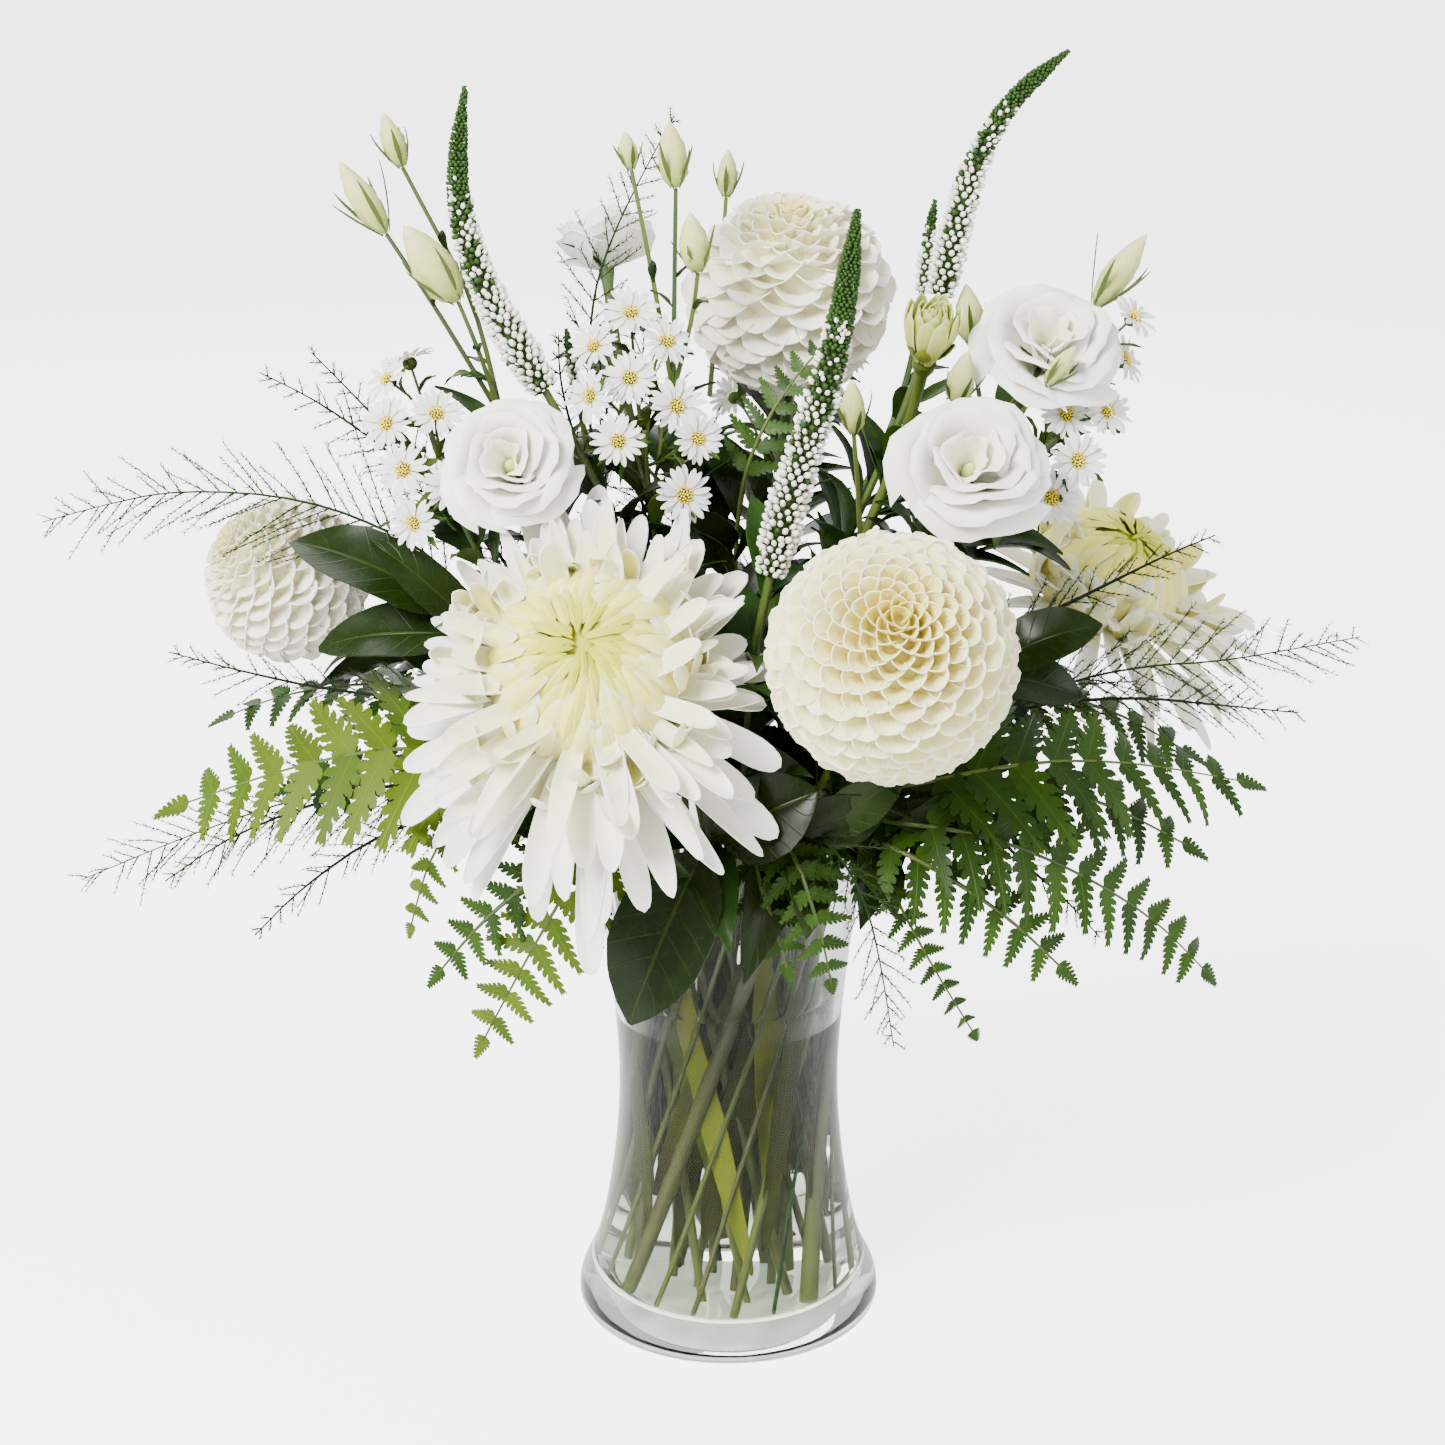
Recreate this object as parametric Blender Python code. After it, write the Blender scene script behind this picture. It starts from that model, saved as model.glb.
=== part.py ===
# Vase of flowers: a clear glass gathering vase with water and a mixed white bouquet.
# Modelled in millimetres and written in metres. The vase stands on z = 0 with its axis on the z axis,
# and the front of the bouquet faces -Y. Every flower head, stem, frond, twig and spray is one closed body.
import math

import bpy
import numpy as np

MM = 0.001
WATER_LEVEL = 145.0
GAP = 0.3

GREEN_STEM = (0.20, 0.33, 0.09, 1.0)
DARK_LEAF = (0.03, 0.11, 0.03, 1.0)
FERN_GREEN = (0.07, 0.24, 0.05, 1.0)
GREY_GREEN = (0.08, 0.15, 0.07, 1.0)
WHITE_PETAL = (0.90, 0.90, 0.86, 1.0)
CREAM_PETAL = (0.90, 0.86, 0.70, 1.0)
GLASS = (0.85, 0.90, 0.88, 1.0)
WATER = (0.80, 0.88, 0.86, 1.0)

# The vase as (radius, height): up the outside, over the rim and down the inside.
VASE_SEGMENTS = 32
VASE_PROFILE = [
    (0.0, 0.0), (54.0, 0.0), (60.5, 1.5), (63.2, 6.0), (63.2, 11.0), (61.5, 18.0), (57.0, 25.0), (53.2, 37.0),
    (49.4, 57.0), (46.6, 78.0), (45.2, 100.0), (45.6, 120.0), (48.2, 150.0), (52.6, 184.0), (57.2, 206.6),
    (59.6, 215.0), (58.9, 216.0), (57.4, 216.0), (56.6, 215.0), (54.2, 206.6), (49.6, 184.0), (45.2, 150.0),
    (42.6, 120.0), (42.2, 100.0), (43.6, 78.0), (46.4, 57.0), (50.2, 37.0), (52.6, 25.0), (52.0, 17.0),
    (48.5, 13.4), (42.0, 12.4), (0.0, 12.4),
]

# Flower heads: the point where the head meets its stem and the direction in which it faces.
HEADS = {
    "chrysanthemum_front": ((-51.1, -66.7, 289.9), (-0.08, -0.78, 0.62)),
    "dahlia_front": ((58.9, -77.6, 295.4), (0.02, -0.80, 0.60)),
    "dahlia_top": ((24.8, 70.2, 390), (0.00, -0.30, 0.95)),
    "dahlia_left": ((-160, 32.6, 294.5), (-0.73, -0.28, 0.63)),
    "dahlia_bud": ((75.7, -3.2, 405.7), (0.10, -0.45, 0.89)),
    "lisianthus_left": ((-82, -36.9, 369.9), (-0.10, -0.82, 0.56)),
    "lisianthus_right": ((89.5, -49.3, 369.6), (0.05, -0.75, 0.66)),
    "lisianthus_upper_right": ((121.3, -1.4, 404.4), (0.15, -0.62, 0.77)),
    "lisianthus_back": ((-48.8, 44.3, 433.7), (-0.10, 0.40, 0.91)),
    "chrysanthemum_right": ((153.2, 83.7, 279), (0.45, -0.32, 0.83)),
}

# In the vase the stems are straight and lean round the axis in rings, so that no two of them meet. A ring is
# its radius at the cut ends, its radius at the rim and the turn between the two in degrees.
RINGS = {
    "outer": (46.0, 47.0, 88.0),
    "middle": (32.0, 33.0, -88.0),
    "inner": (18.0, 18.5, 60.0),
    "core": (6.0, 6.5, 40.0),
}
RIM_HEIGHT = 216.0
FLOOR_HEIGHT = 12.9

# The stem of each head: its ring, its place round the rim in degrees and its radius.
HEAD_STEMS = {
    "chrysanthemum_front": ("outer", -120, 4.0),
    "dahlia_front": ("outer", -60, 3.2),
    "chrysanthemum_right": ("outer", 40, 4.0),
    "dahlia_left": ("outer", 180, 2.8),
    "lisianthus_left": ("middle", -135, 2.0),
    "lisianthus_right": ("middle", -45, 2.0),
    "lisianthus_upper_right": ("middle", -15, 2.0),
    "dahlia_bud": ("inner", -22.5, 2.2),
    "dahlia_top": ("inner", 67.5, 2.8),
    "lisianthus_back": ("inner", 112.5, 2.0),
}

# The stems that end at a fork, a first leaf or a spike: the same three values, then the point where the
# plain stem ends and its direction there.
SPRAY_STEMS = {
    "veronica_left_stem": ("inner", -157.5, 1.6, (-70.5, -20, 398.2), (-0.5, 0.1, 0.85)),
    "veronica_centre_stem": ("middle", -75, 1.8, (15.3, -70, 338.5), (0.2, 0.0, 1.0)),
    "veronica_right_stem": ("inner", 22.5, 1.6, (82.8, 20, 427.5), (0.2, 0, 1)),
    "veronica_small_right": ("core", 0, 1.3, (78.2, 60, 422.4), (0.05, 0, 1)),
    "veronica_small_left": ("core", 180, 1.3, (-59.7, 20, 385.8), (-0.1, 0, 1)),
    "aster_left": ("middle", -165, 1.4, (-104, -30, 352), (-0.4, 0.1, 1)),
    "aster_centre": ("middle", -105, 1.4, (-32, -18, 368), (-0.1, 0.1, 1)),
    "aster_right": ("middle", 15, 1.4, (112, -20, 368), (0.4, 0, 1)),
    "aster_back": ("middle", 75, 1.4, (25, 85, 345), (0.1, 0.5, 1)),
    "lisianthus_buds_left": ("middle", 165, 1.7, (-93, 0, 394), (-0.35, 0, 1)),
    "lisianthus_buds_centre": ("inner", -112.5, 1.6, (-22, 4, 400), (0, 0, 1)),
    "lisianthus_buds_right": ("middle", 45, 1.6, (104, 10, 378), (0.4, 0, 1)),
    "twig_left": ("outer", -140, 1.8, (-92, -36, 300), (-0.7, -0.1, 0.6)),
    "twig_right": ("outer", 0, 1.8, (92, -16, 280), (0.8, -0.1, 0.4)),
    "twig_back": ("outer", 80, 1.8, (10, 92, 285), (0.1, 0.8, 0.5)),
    "twig_centre": ("middle", 105, 1.6, (2, 2, 322), (0.1, -0.3, 0.9)),
    "twig_front": ("outer", -100, 1.6, (-8, -68, 232), (-0.1, -0.9, 0.1)),
    "fern_left": ("outer", -160, 1.1, (-84, -44, 256), (-0.9, -0.25, 0.3)),
    "fern_right": ("outer", -20, 1.1, (76, -56, 252), (0.9, -0.1, 0.25)),
    "fern_right_low": ("outer", -40, 1.1, (74, -72, 240), (0.9, -0.2, 0.05)),
    "fern_centre": ("outer", -80, 1.1, (22, -76, 234), (0.3, -0.8, 0.1)),
    "fern_back_right": ("outer", 60, 1.1, (55, 85, 252), (0.5, 0.8, 0.2)),
    "fern_back_left": ("outer", 120, 1.1, (-58, 82, 252), (-0.5, 0.8, 0.2)),
    "fern_dark_left": ("outer", 140, 1.1, (-92, 24, 256), (-0.9, 0.1, 0.3)),
    "fern_top": ("inner", -67.5, 1.1, (6, 0, 360), (0.2, 0.1, 1)),
    "asparagus_left": ("outer", 160, 0.9, (-110, 4, 318), (-0.6, -0.05, 0.7)),
    "asparagus_right": ("outer", 20, 0.9, (105, -2, 258), (0.9, -0.1, 0.4)),
    "asparagus_back": ("outer", 100, 0.9, (-14, 96, 300), (-0.1, 0.5, 0.8)),
    "asparagus_top": ("inner", 157.5, 0.9, (-56, 16, 396), (0, 0, 1)),
}

# Short stalks that stand only in the neck, against its wall: the place round the rim in degrees, the radius
# and two points over the rim.
NECK_HEIGHTS = (170.0, 190.0, 213.0)
NECK_STALKS = {
    "fern_lower": (-128, 1.0, [(-39, -55, 228), (-48, -67, 231)]),
    "fern_small_left": (-152, 1.0, [(-60, -35, 231), (-78, -46, 241)]),
    "fern_folded": (-50, 1.0, [(41, -51, 229), (50, -62, 231)]),
    "asparagus_left_low": (-172, 0.8, [(-68, -10, 232), (-90, -14, 240)]),
    "asparagus_low": (-68, 0.8, [(26, -61, 230), (34, -76, 237)]),
}


def unit(vector):
    vector = np.array(vector, dtype=float)
    return vector / np.linalg.norm(vector)


# Stem routes

def round_axis(radius, place, height):
    place = math.radians(place)
    return np.array((radius * math.cos(place), radius * math.sin(place), height))


def ring_ends(ring, place, radius):
    """The cut end of a stem, a little over the floor of the vase, and its point at the rim."""
    foot_radius, rim_radius, turn = RINGS[ring]
    rim = round_axis(rim_radius, place, RIM_HEIGHT)
    foot = round_axis(foot_radius, place - turn, FLOOR_HEIGHT)
    raised = (0.5 + 0.36 * radius) / (RIM_HEIGHT - FLOOR_HEIGHT)
    return foot + (rim - foot) * raised, rim


def curve_between(start, start_way, end, end_way, spacing=7.0):
    """Points on a cubic curve that leaves start and reaches end in the given directions."""
    length = np.linalg.norm(end - start)
    first = start + start_way * length * 0.38
    last = end - end_way * length * 0.38
    points = []
    for t in np.linspace(0.0, 1.0, max(6, int(length / spacing))):
        s = 1.0 - t
        points.append(s ** 3 * start + 3 * s * s * t * first + 3 * s * t * t * last + t ** 3 * end)
    return points


def thinned(points, slack=0.7):
    """Leaves out the points that lie within slack of the line between their neighbours."""
    if len(points) < 3:
        return points
    line = unit(points[-1] - points[0])
    offs = [p - points[0] for p in points]
    away = [np.linalg.norm(off - line * off.dot(line)) for off in offs]
    worst = int(np.argmax(away))
    if away[worst] < slack:
        return [points[0], points[-1]]
    return thinned(points[:worst + 1], slack)[:-1] + thinned(points[worst:], slack)


def stem_route(ring, place, radius, end, end_way):
    foot, rim = ring_ends(ring, place, radius)
    curve = curve_between(rim, unit(rim - foot), np.array(end, dtype=float), unit(end_way))
    return [foot] + thinned(curve)


def neck_route(place, radius, over_rim):
    """A stalk that follows the inner wall of the neck and then bends over the rim."""
    wall = sorted((z, r) for r, z in VASE_PROFILE[18:26])
    route = []
    for i, height in enumerate(NECK_HEIGHTS):
        inner = np.interp(height, [z for z, r in wall], [r for z, r in wall])
        clear = 0.3 + 1.13 * radius + (0.0, 0.1, 1.5)[i]
        route.append(round_axis(inner * 0.995 - clear, place, height))
    return route + [np.array(p, dtype=float) for p in over_rim]


def all_stems():
    """Name of each stem to its radius and its route from the cut end upwards."""
    stems = {}
    for name, (ring, place, radius) in HEAD_STEMS.items():
        base, facing = HEADS[name]
        end = np.array(base, dtype=float) - unit(facing) * GAP
        stems[name + "_stem"] = (radius, stem_route(ring, place, radius, end, facing))
    for name, (ring, place, radius, end, end_way) in SPRAY_STEMS.items():
        stems[name] = (radius, stem_route(ring, place, radius, end, end_way))
    for name, (place, radius, over_rim) in NECK_STALKS.items():
        stems[name] = (radius, neck_route(place, radius, over_rim))
    return stems


STEMS = all_stems()


def clear_scene():
    for thing in list(bpy.data.objects):
        bpy.data.objects.remove(thing, do_unlink=True)


def plain_material(name, colour, roughness):
    material = bpy.data.materials.new(name)
    material.use_nodes = True
    shader = material.node_tree.nodes["Principled BSDF"]
    shader.inputs["Base Color"].default_value = colour
    shader.inputs["Roughness"].default_value = roughness
    return material


def add_body(name, verts, faces, colour, roughness=0.6):
    mesh = bpy.data.meshes.new(name)
    mesh.from_pydata([tuple(float(c) * MM for c in v) for v in verts], [], [tuple(f) for f in faces])
    mesh.update()
    body = bpy.data.objects.new(name, mesh)
    bpy.context.scene.collection.objects.link(body)
    mesh.materials.append(plain_material(name, colour, roughness))
    return body


def tube(points, radii, sides=6):
    """A closed tube along points, with a frame carried smoothly from one end to the other."""
    points = [np.array(p, dtype=float) for p in points]
    count = len(points)
    tangents = []
    for i in range(count):
        before = points[max(i - 1, 0)]
        after = points[min(i + 1, count - 1)]
        tangents.append(unit(after - before))
    side = unit(np.cross(tangents[0], (0.31, 0.95, 0.02)))
    verts = []
    for i in range(count):
        side = unit(side - tangents[i] * side.dot(tangents[i]))
        up = np.cross(tangents[i], side)
        for k in range(sides):
            turn = 2 * math.pi * k / sides
            verts.append(points[i] + radii[i] * (math.cos(turn) * side + math.sin(turn) * up))
    faces = [tuple(reversed(range(sides)))]
    for i in range(count - 1):
        for k in range(sides):
            j = (k + 1) % sides
            low = i * sides
            faces.append((low + k, low + j, low + sides + j, low + sides + k))
    faces.append(tuple((count - 1) * sides + k for k in range(sides)))
    return verts, faces


def turned(profile, segments, shape=None):
    """A closed body turned about z from (radius, height) pairs that run from the lower pole to the upper
    pole. shape(ring, turn) may scale the radius and lift the point."""
    verts = [np.array((0.0, 0.0, profile[0][1]))]
    for ring, (radius, height) in enumerate(profile[1:-1], start=1):
        for k in range(segments):
            turn = 2 * math.pi * k / segments
            scale, lift = shape(ring, turn) if shape else (1.0, 0.0)
            across = radius * scale
            verts.append(np.array((across * math.cos(turn), across * math.sin(turn), height + lift)))
    verts.append(np.array((0.0, 0.0, profile[-1][1])))
    rings = len(profile) - 2
    last = len(verts) - 1
    faces = []
    for k in range(segments):
        j = (k + 1) % segments
        faces.append((0, 1 + j, 1 + k))
        top = 1 + (rings - 1) * segments
        faces.append((top + k, top + j, last))
        for ring in range(rings - 1):
            low = 1 + ring * segments
            faces.append((low + k, low + j, low + segments + j, low + segments + k))
    return verts, faces


def placed(verts, base, facing, roll=0.0):
    """Turns local z to the facing direction and moves the local origin to base."""
    facing = unit(facing)
    side = np.cross((0.0, 0.0, 1.0), facing)
    if np.linalg.norm(side) < 0.05:
        side = np.array((1.0, 0.0, 0.0))
    side = unit(side)
    up = np.cross(facing, side)
    turned_side = math.cos(roll) * side + math.sin(roll) * up
    turned_up = np.cross(facing, turned_side)
    base = np.array(base, dtype=float)
    return [base + v[0] * turned_side + v[1] * turned_up + v[2] * facing for v in verts]


def join_solids(solids):
    """Unites closed meshes that run into each other and returns the one outer body."""
    made = []
    for i, (verts, faces) in enumerate(solids):
        mesh = bpy.data.meshes.new("solid%d" % i)
        mesh.from_pydata([tuple(float(c) for c in v) for v in verts], [], [tuple(f) for f in faces])
        thing = bpy.data.objects.new("solid%d" % i, mesh)
        bpy.context.scene.collection.objects.link(thing)
        made.append(thing)
    whole = made[0]
    for extra in made[1:]:
        joint = whole.modifiers.new("join", "BOOLEAN")
        joint.operation = "UNION"
        joint.solver = "EXACT"
        joint.object = extra
    graph = bpy.context.evaluated_depsgraph_get()
    result = bpy.data.meshes.new_from_object(whole.evaluated_get(graph))
    verts = [np.array(v.co) for v in result.vertices]
    faces = [tuple(p.vertices) for p in result.polygons]
    for thing in made:
        bpy.data.objects.remove(thing, do_unlink=True)
    bpy.data.meshes.remove(result)
    return verts, faces


def closed_sheet(verts, faces, normals, halves):
    """Thickens a sheet: each point is moved both ways along its normal by its own half thickness."""
    count = len(verts)
    solid = [v + n * h for v, n, h in zip(verts, normals, halves)]
    solid += [v - n * h for v, n, h in zip(verts, normals, halves)]
    edges = {}
    for face in faces:
        for i, a in enumerate(face):
            edges[(a, face[(i + 1) % len(face)])] = True
    out = [tuple(f) for f in faces]
    out += [tuple(count + i for i in reversed(f)) for f in faces]
    for a, b in edges:
        if (b, a) not in edges:
            out.append((b, a, count + a, count + b))
    return solid, out


def frames_along(points, hint, start):
    """Tangent, side and normal at each point. The normal follows hint from index start on, and is carried
    back from there along the stalk."""
    count = len(points)
    tangents = [unit(points[min(i + 1, count - 1)] - points[max(i - 1, 0)]) for i in range(count)]
    normals = [None] * count
    for i in range(start, count):
        normals[i] = unit(np.array(hint) - tangents[i] * np.dot(hint, tangents[i]))
    for i in range(start - 1, -1, -1):
        normal = normals[i + 1]
        normals[i] = unit(normal - tangents[i] * normal.dot(tangents[i]))
    sides = [np.cross(tangents[i], normals[i]) for i in range(count)]
    return tangents, sides, normals


def spaced(points, gaps):
    """Points along a polyline whose spacing follows the given fractions of its length."""
    points = [np.array(p, dtype=float) for p in points]
    steps = [np.linalg.norm(b - a) for a, b in zip(points[:-1], points[1:])]
    total = sum(steps)
    wanted = np.cumsum([0.0] + list(gaps))
    wanted = wanted / wanted[-1] * total
    reach = np.cumsum([0.0] + steps)
    out = []
    for w in wanted:
        i = min(int(np.searchsorted(reach, w, side="right")) - 1, len(steps) - 1)
        out.append(points[i] + (points[i + 1] - points[i]) * (w - reach[i]) / steps[i])
    return out


def frond(stalk, radius, rachis, pairs, longest, width, hint, droop=0.12, lean=0.45, half=0.45, shortest=0.25):
    """A frond as one closed sheet: a stalk, a midrib and pairs of tapering leaflets along the midrib."""
    gaps = []
    for i in range(pairs):
        gaps += [0.55, 0.45]
    ribs = spaced([stalk[-1]] + list(rachis), [0.6] + gaps + [0.5])
    points = [np.array(p, dtype=float) for p in stalk[:-1]] + ribs
    start = len(stalk) - 1
    tangents, sides, normals = frames_along(points, hint, start)
    count = len(points)
    verts = []
    face_normals = []
    halves = []
    faces = []
    for i in range(count):
        if i <= start:
            across = radius * 0.8
            deep = radius * 0.8
        else:
            k = (i - start) / (count - start)
            across = radius * 0.8 * (1 - 0.5 * k)
            deep = max(half, radius * 0.8 * (1 - k))
        verts += [points[i] - sides[i] * across, points[i] + sides[i] * across]
        face_normals += [normals[i], normals[i]]
        halves += [deep, deep]
        if i:
            low = 2 * (i - 1)
            faces.append((low, low + 1, low + 3, low + 2))
    for pair in range(pairs):
        i = start + 1 + 2 * pair
        k = pair / max(pairs - 1, 1)
        reach = longest * (shortest + (1 - shortest) * (1 - k) ** 0.8) * (0.8 if pair == 0 else 1.0)
        broad = width * (0.6 + 0.4 * (1 - k))
        for sign in (-1, 1):
            out = unit(sides[i] * sign * (1 - lean * 0.5) + tangents[i] * lean - normals[i] * droop)
            low = 2 * i + (0 if sign < 0 else 1)
            high = low + 2
            root = (verts[low] + verts[high]) / 2
            along = unit(tangents[i] - out * tangents[i].dot(out))
            middle = root + out * reach * 0.45 - normals[i] * reach * 0.02
            tip = root + out * reach - normals[i] * reach * droop * 0.8
            base = len(verts)
            verts += [middle - along * broad / 2, middle + along * broad / 2, tip]
            face_normals += [normals[i]] * 3
            halves += [half, half, half * 0.8]
            if sign < 0:
                faces.append((low, high, base + 1, base))
                faces.append((base, base + 1, base + 2))
            else:
                faces.append((high, low, base, base + 1))
                faces.append((base + 1, base, base + 2))
    return closed_sheet(verts, faces, face_normals, halves)


def broad_leaf(base, tip, width, hint, bow=0.12, half=0.5, stalk=0.12, cup=0.08):
    """A leaf blade as a closed sheet between its base and its tip, bowed and slightly cupped."""
    base = np.array(base, dtype=float)
    tip = np.array(tip, dtype=float)
    along = tip - base
    length = np.linalg.norm(along)
    forward = along / length
    normal = unit(np.array(hint) - forward * np.dot(hint, forward))
    side = np.cross(forward, normal)
    shape = [(0.0, 0.045), (stalk, 0.06), (0.26, 0.66), (0.45, 0.98), (0.62, 0.94), (0.8, 0.62), (0.93, 0.25)]
    verts = []
    normals = []
    faces = []
    for i, (t, breadth) in enumerate(shape):
        centre = base + along * t + normal * length * bow * 4 * t * (1 - t)
        reach = width / 2 * breadth
        rise = normal * reach * cup * 2
        verts += [centre - side * reach + rise, centre, centre + side * reach + rise]
        normals += [normal] * 3
        if i:
            low = 3 * (i - 1)
            faces.append((low, low + 1, low + 4, low + 3))
            faces.append((low + 1, low + 2, low + 5, low + 4))
    verts.append(tip)
    normals.append(normal)
    last = len(verts) - 1
    faces.append((last - 3, last - 2, last))
    faces.append((last - 2, last - 1, last))
    return closed_sheet(verts, faces, normals, [half] * len(verts))


def closed_bud(base, tip, radius, sides=7):
    """A pointed closed bud with a slight waist above its calyx."""
    base = np.array(base, dtype=float)
    tip = np.array(tip, dtype=float)
    length = np.linalg.norm(tip - base)
    profile = [(0.0, 0.0), (radius * 0.45, length * 0.03), (radius * 0.85, length * 0.22)]
    profile += [(radius, length * 0.42), (radius * 0.75, length * 0.68), (radius * 0.3, length * 0.9)]
    profile += [(0.0, length)]
    verts, faces = turned(profile, sides)
    return placed(verts, base, tip - base), faces


def small_daisy(centre, facing, radius=10.5, sides=7):
    """An aster: a shallow cup of rays over a small green cup."""
    profile = [(0.0, -6.5), (2.8, -4.5), (radius, 1.2), (radius * 0.94, 2.4), (0.0, 2.0)]

    verts, faces = turned(profile, sides)
    return placed(verts, centre, facing), faces


def add_stem(name, colour=GREEN_STEM, calyx=None, extras=()):
    """A stem from its table route. calyx is (height, radius) of the flare under a head."""
    radius, route = STEMS[name]
    points = [np.array(p, dtype=float) for p in route]
    radii = [radius] * len(points)
    if calyx:
        height, wide = calyx
        end = points[-1]
        axis = unit(points[-1] - points[-2])
        head = HEADS[name.replace("_stem", "")]
        axis = unit(head[1])
        points[-1] = end - axis * height
        radii[-1] = radius * 1.05
        points += [end - axis * height * 0.45, end]
        radii += [wide * 0.85, wide]
    solid = tube(points, radii)
    if extras:
        solid = join_solids([solid] + list(extras))
    return add_body(name, solid[0], solid[1], colour)


# Vase and water

def build_vase():
    verts, faces = turned(VASE_PROFILE, VASE_SEGMENTS)
    add_body("vase", verts, faces, GLASS, 0.05)


def build_water():
    inner = [(r, z) for r, z in VASE_PROFILE[19:] if z < WATER_LEVEL - 2]
    inner = list(reversed(inner))
    profile = []
    for i, (r, z) in enumerate(inner):
        if r == 0.0:
            profile.append((0.0, z + GAP + 0.15))
            continue
        before = inner[max(i - 1, 0)]
        after = inner[min(i + 1, len(inner) - 1)]
        lean = math.hypot(after[0] - before[0], after[1] - before[1])
        gap = GAP + 0.15
        profile.append((r - gap * (after[1] - before[1]) / lean, z + gap * (after[0] - before[0]) / lean))
    profile.append((44.2, WATER_LEVEL))
    profile.append((0.0, WATER_LEVEL))
    body = turned(profile, VASE_SEGMENTS)
    verts, faces = [], []
    for name, (radius, route) in STEMS.items():
        if route[0][2] > 100:
            continue
        start = np.array(route[0], dtype=float)
        top = np.array(route[1], dtype=float)
        axis = (top - start) / (top[2] - start[2])
        hole = tube([start - axis * 8.0, start + axis * (WATER_LEVEL + 6 - start[2])], [radius + 0.75] * 2)
        base = len(verts)
        verts += hole[0]
        faces += [tuple(base + i for i in f) for f in hole[1]]
    water = add_body("water", body[0], body[1], WATER, 0.05)
    cutter = add_body("stem_room", verts, faces, WATER)
    cut = water.modifiers.new("stem_room", "BOOLEAN")
    cut.operation = "DIFFERENCE"
    cut.solver = "EXACT"
    cut.object = cutter
    graph = bpy.context.evaluated_depsgraph_get()
    result = bpy.data.meshes.new_from_object(water.evaluated_get(graph))
    water.modifiers.clear()
    water.data = result
    bpy.data.objects.remove(cutter, do_unlink=True)


# Flower heads

def build_chrysanthemum(name, core, reach, roll, low, segments=16):
    """A dome of curled petals with two rows of long petals. low gives how much longer the petals are on
    the side that hangs down."""
    base, facing = HEADS[name]
    profile = [(0.0, 0.0), (core * 0.3, 0.0), (core * 0.62, core * 0.14), (core * 0.92, core * 0.42),
               (core, core * 0.78), (core * 0.84, core * 1.1), (core * 0.45, core * 1.27), (0.0, core * 1.22)]
    verts, faces = turned(profile, segments)
    rows = ((2, 1.0, 0.5, 0.0), (3, 0.8, 0.62, 0.5))
    for ring, length, rise, shift in rows:
        wanted = []
        for k in range(segments):
            a = 1 + (ring - 1) * segments + k
            wanted.append((a, 1 + (ring - 1) * segments + (k + 1) % segments))
        for k, (a, b) in enumerate(wanted):
            quad = (a, b, b + segments, a + segments)
            faces.remove(quad)
            turn = 2 * math.pi * (k + 0.5 + shift * 0.35) / segments
            out = np.array((math.cos(turn), math.sin(turn), 0.0))
            across = np.array((-math.sin(turn), math.cos(turn), 0.0))
            hang = 1.0 + low * max(0.0, -math.sin(turn + roll)) - 0.05 * max(0.0, math.sin(turn + roll))
            wave = 1.0 + 0.06 * math.sin(3.0 * turn + ring) + 0.05 * math.sin(7.0 * turn)
            far = core + (reach - core) * length * hang * wave
            middle = core + (far - core) * 0.5
            level = core * rise
            half = 5.6 if length > 0.9 else 5.0
            thick = 1.1
            up = np.array((0.0, 0.0, 1.0))
            spots = [out * middle - across * half + up * (level - thick + 1.5),
                     out * middle + across * half + up * (level - thick + 1.5),
                     out * middle + across * half + up * (level + thick + 1.5),
                     out * middle - across * half + up * (level + thick + 1.5),
                     out * far + across * -2.6 + up * (level - 2.0),
                     out * far + across * 2.6 + up * (level - 2.0),
                     out * far + across * 2.6 + up * (level - 0.6),
                     out * far + across * -2.6 + up * (level - 0.6)]
            n = len(verts)
            verts += spots
            faces += [(quad[0], quad[1], n + 1, n), (quad[1], quad[2], n + 2, n + 1),
                      (quad[2], quad[3], n + 3, n + 2), (quad[3], quad[0], n, n + 3),
                      (n, n + 1, n + 5, n + 4), (n + 1, n + 2, n + 6, n + 5),
                      (n + 2, n + 3, n + 7, n + 6), (n + 3, n, n + 4, n + 7),
                      (n + 4, n + 5, n + 6, n + 7)]
    add_body(name, placed(verts, base, facing), faces, WHITE_PETAL)


def build_dahlia(name, radius, segments=14, bands=8):
    """A ball of cupped florets: each field of the ball rises to a blunt floret."""
    base, facing = HEADS[name]
    centre = radius * 0.84
    profile = [(0.0, 0.0)]
    for i in range(1, bands):
        polar = math.pi * (0.19 + 0.81 * i / bands)
        profile.append((radius * 0.92 * math.sin(polar), centre - radius * 0.92 * math.cos(polar)))
    profile.append((0.0, centre + radius * 0.84))
    profile[1] = (radius * 0.34, 0.0)
    verts, faces = turned(profile, segments)
    middle = np.array((0.0, 0.0, centre))
    out = []
    for face in faces:
        if len(face) == 3:
            out.append(face)
            continue
        spot = sum(verts[i] for i in face) / 4
        away = unit(spot - middle)
        floret = middle + away * radius
        n = len(verts)
        verts.append(floret)
        for i in range(4):
            out.append((face[i], face[(i + 1) % 4], n))
    add_body(name, placed(verts, base, facing), out, CREAM_PETAL)


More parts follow.
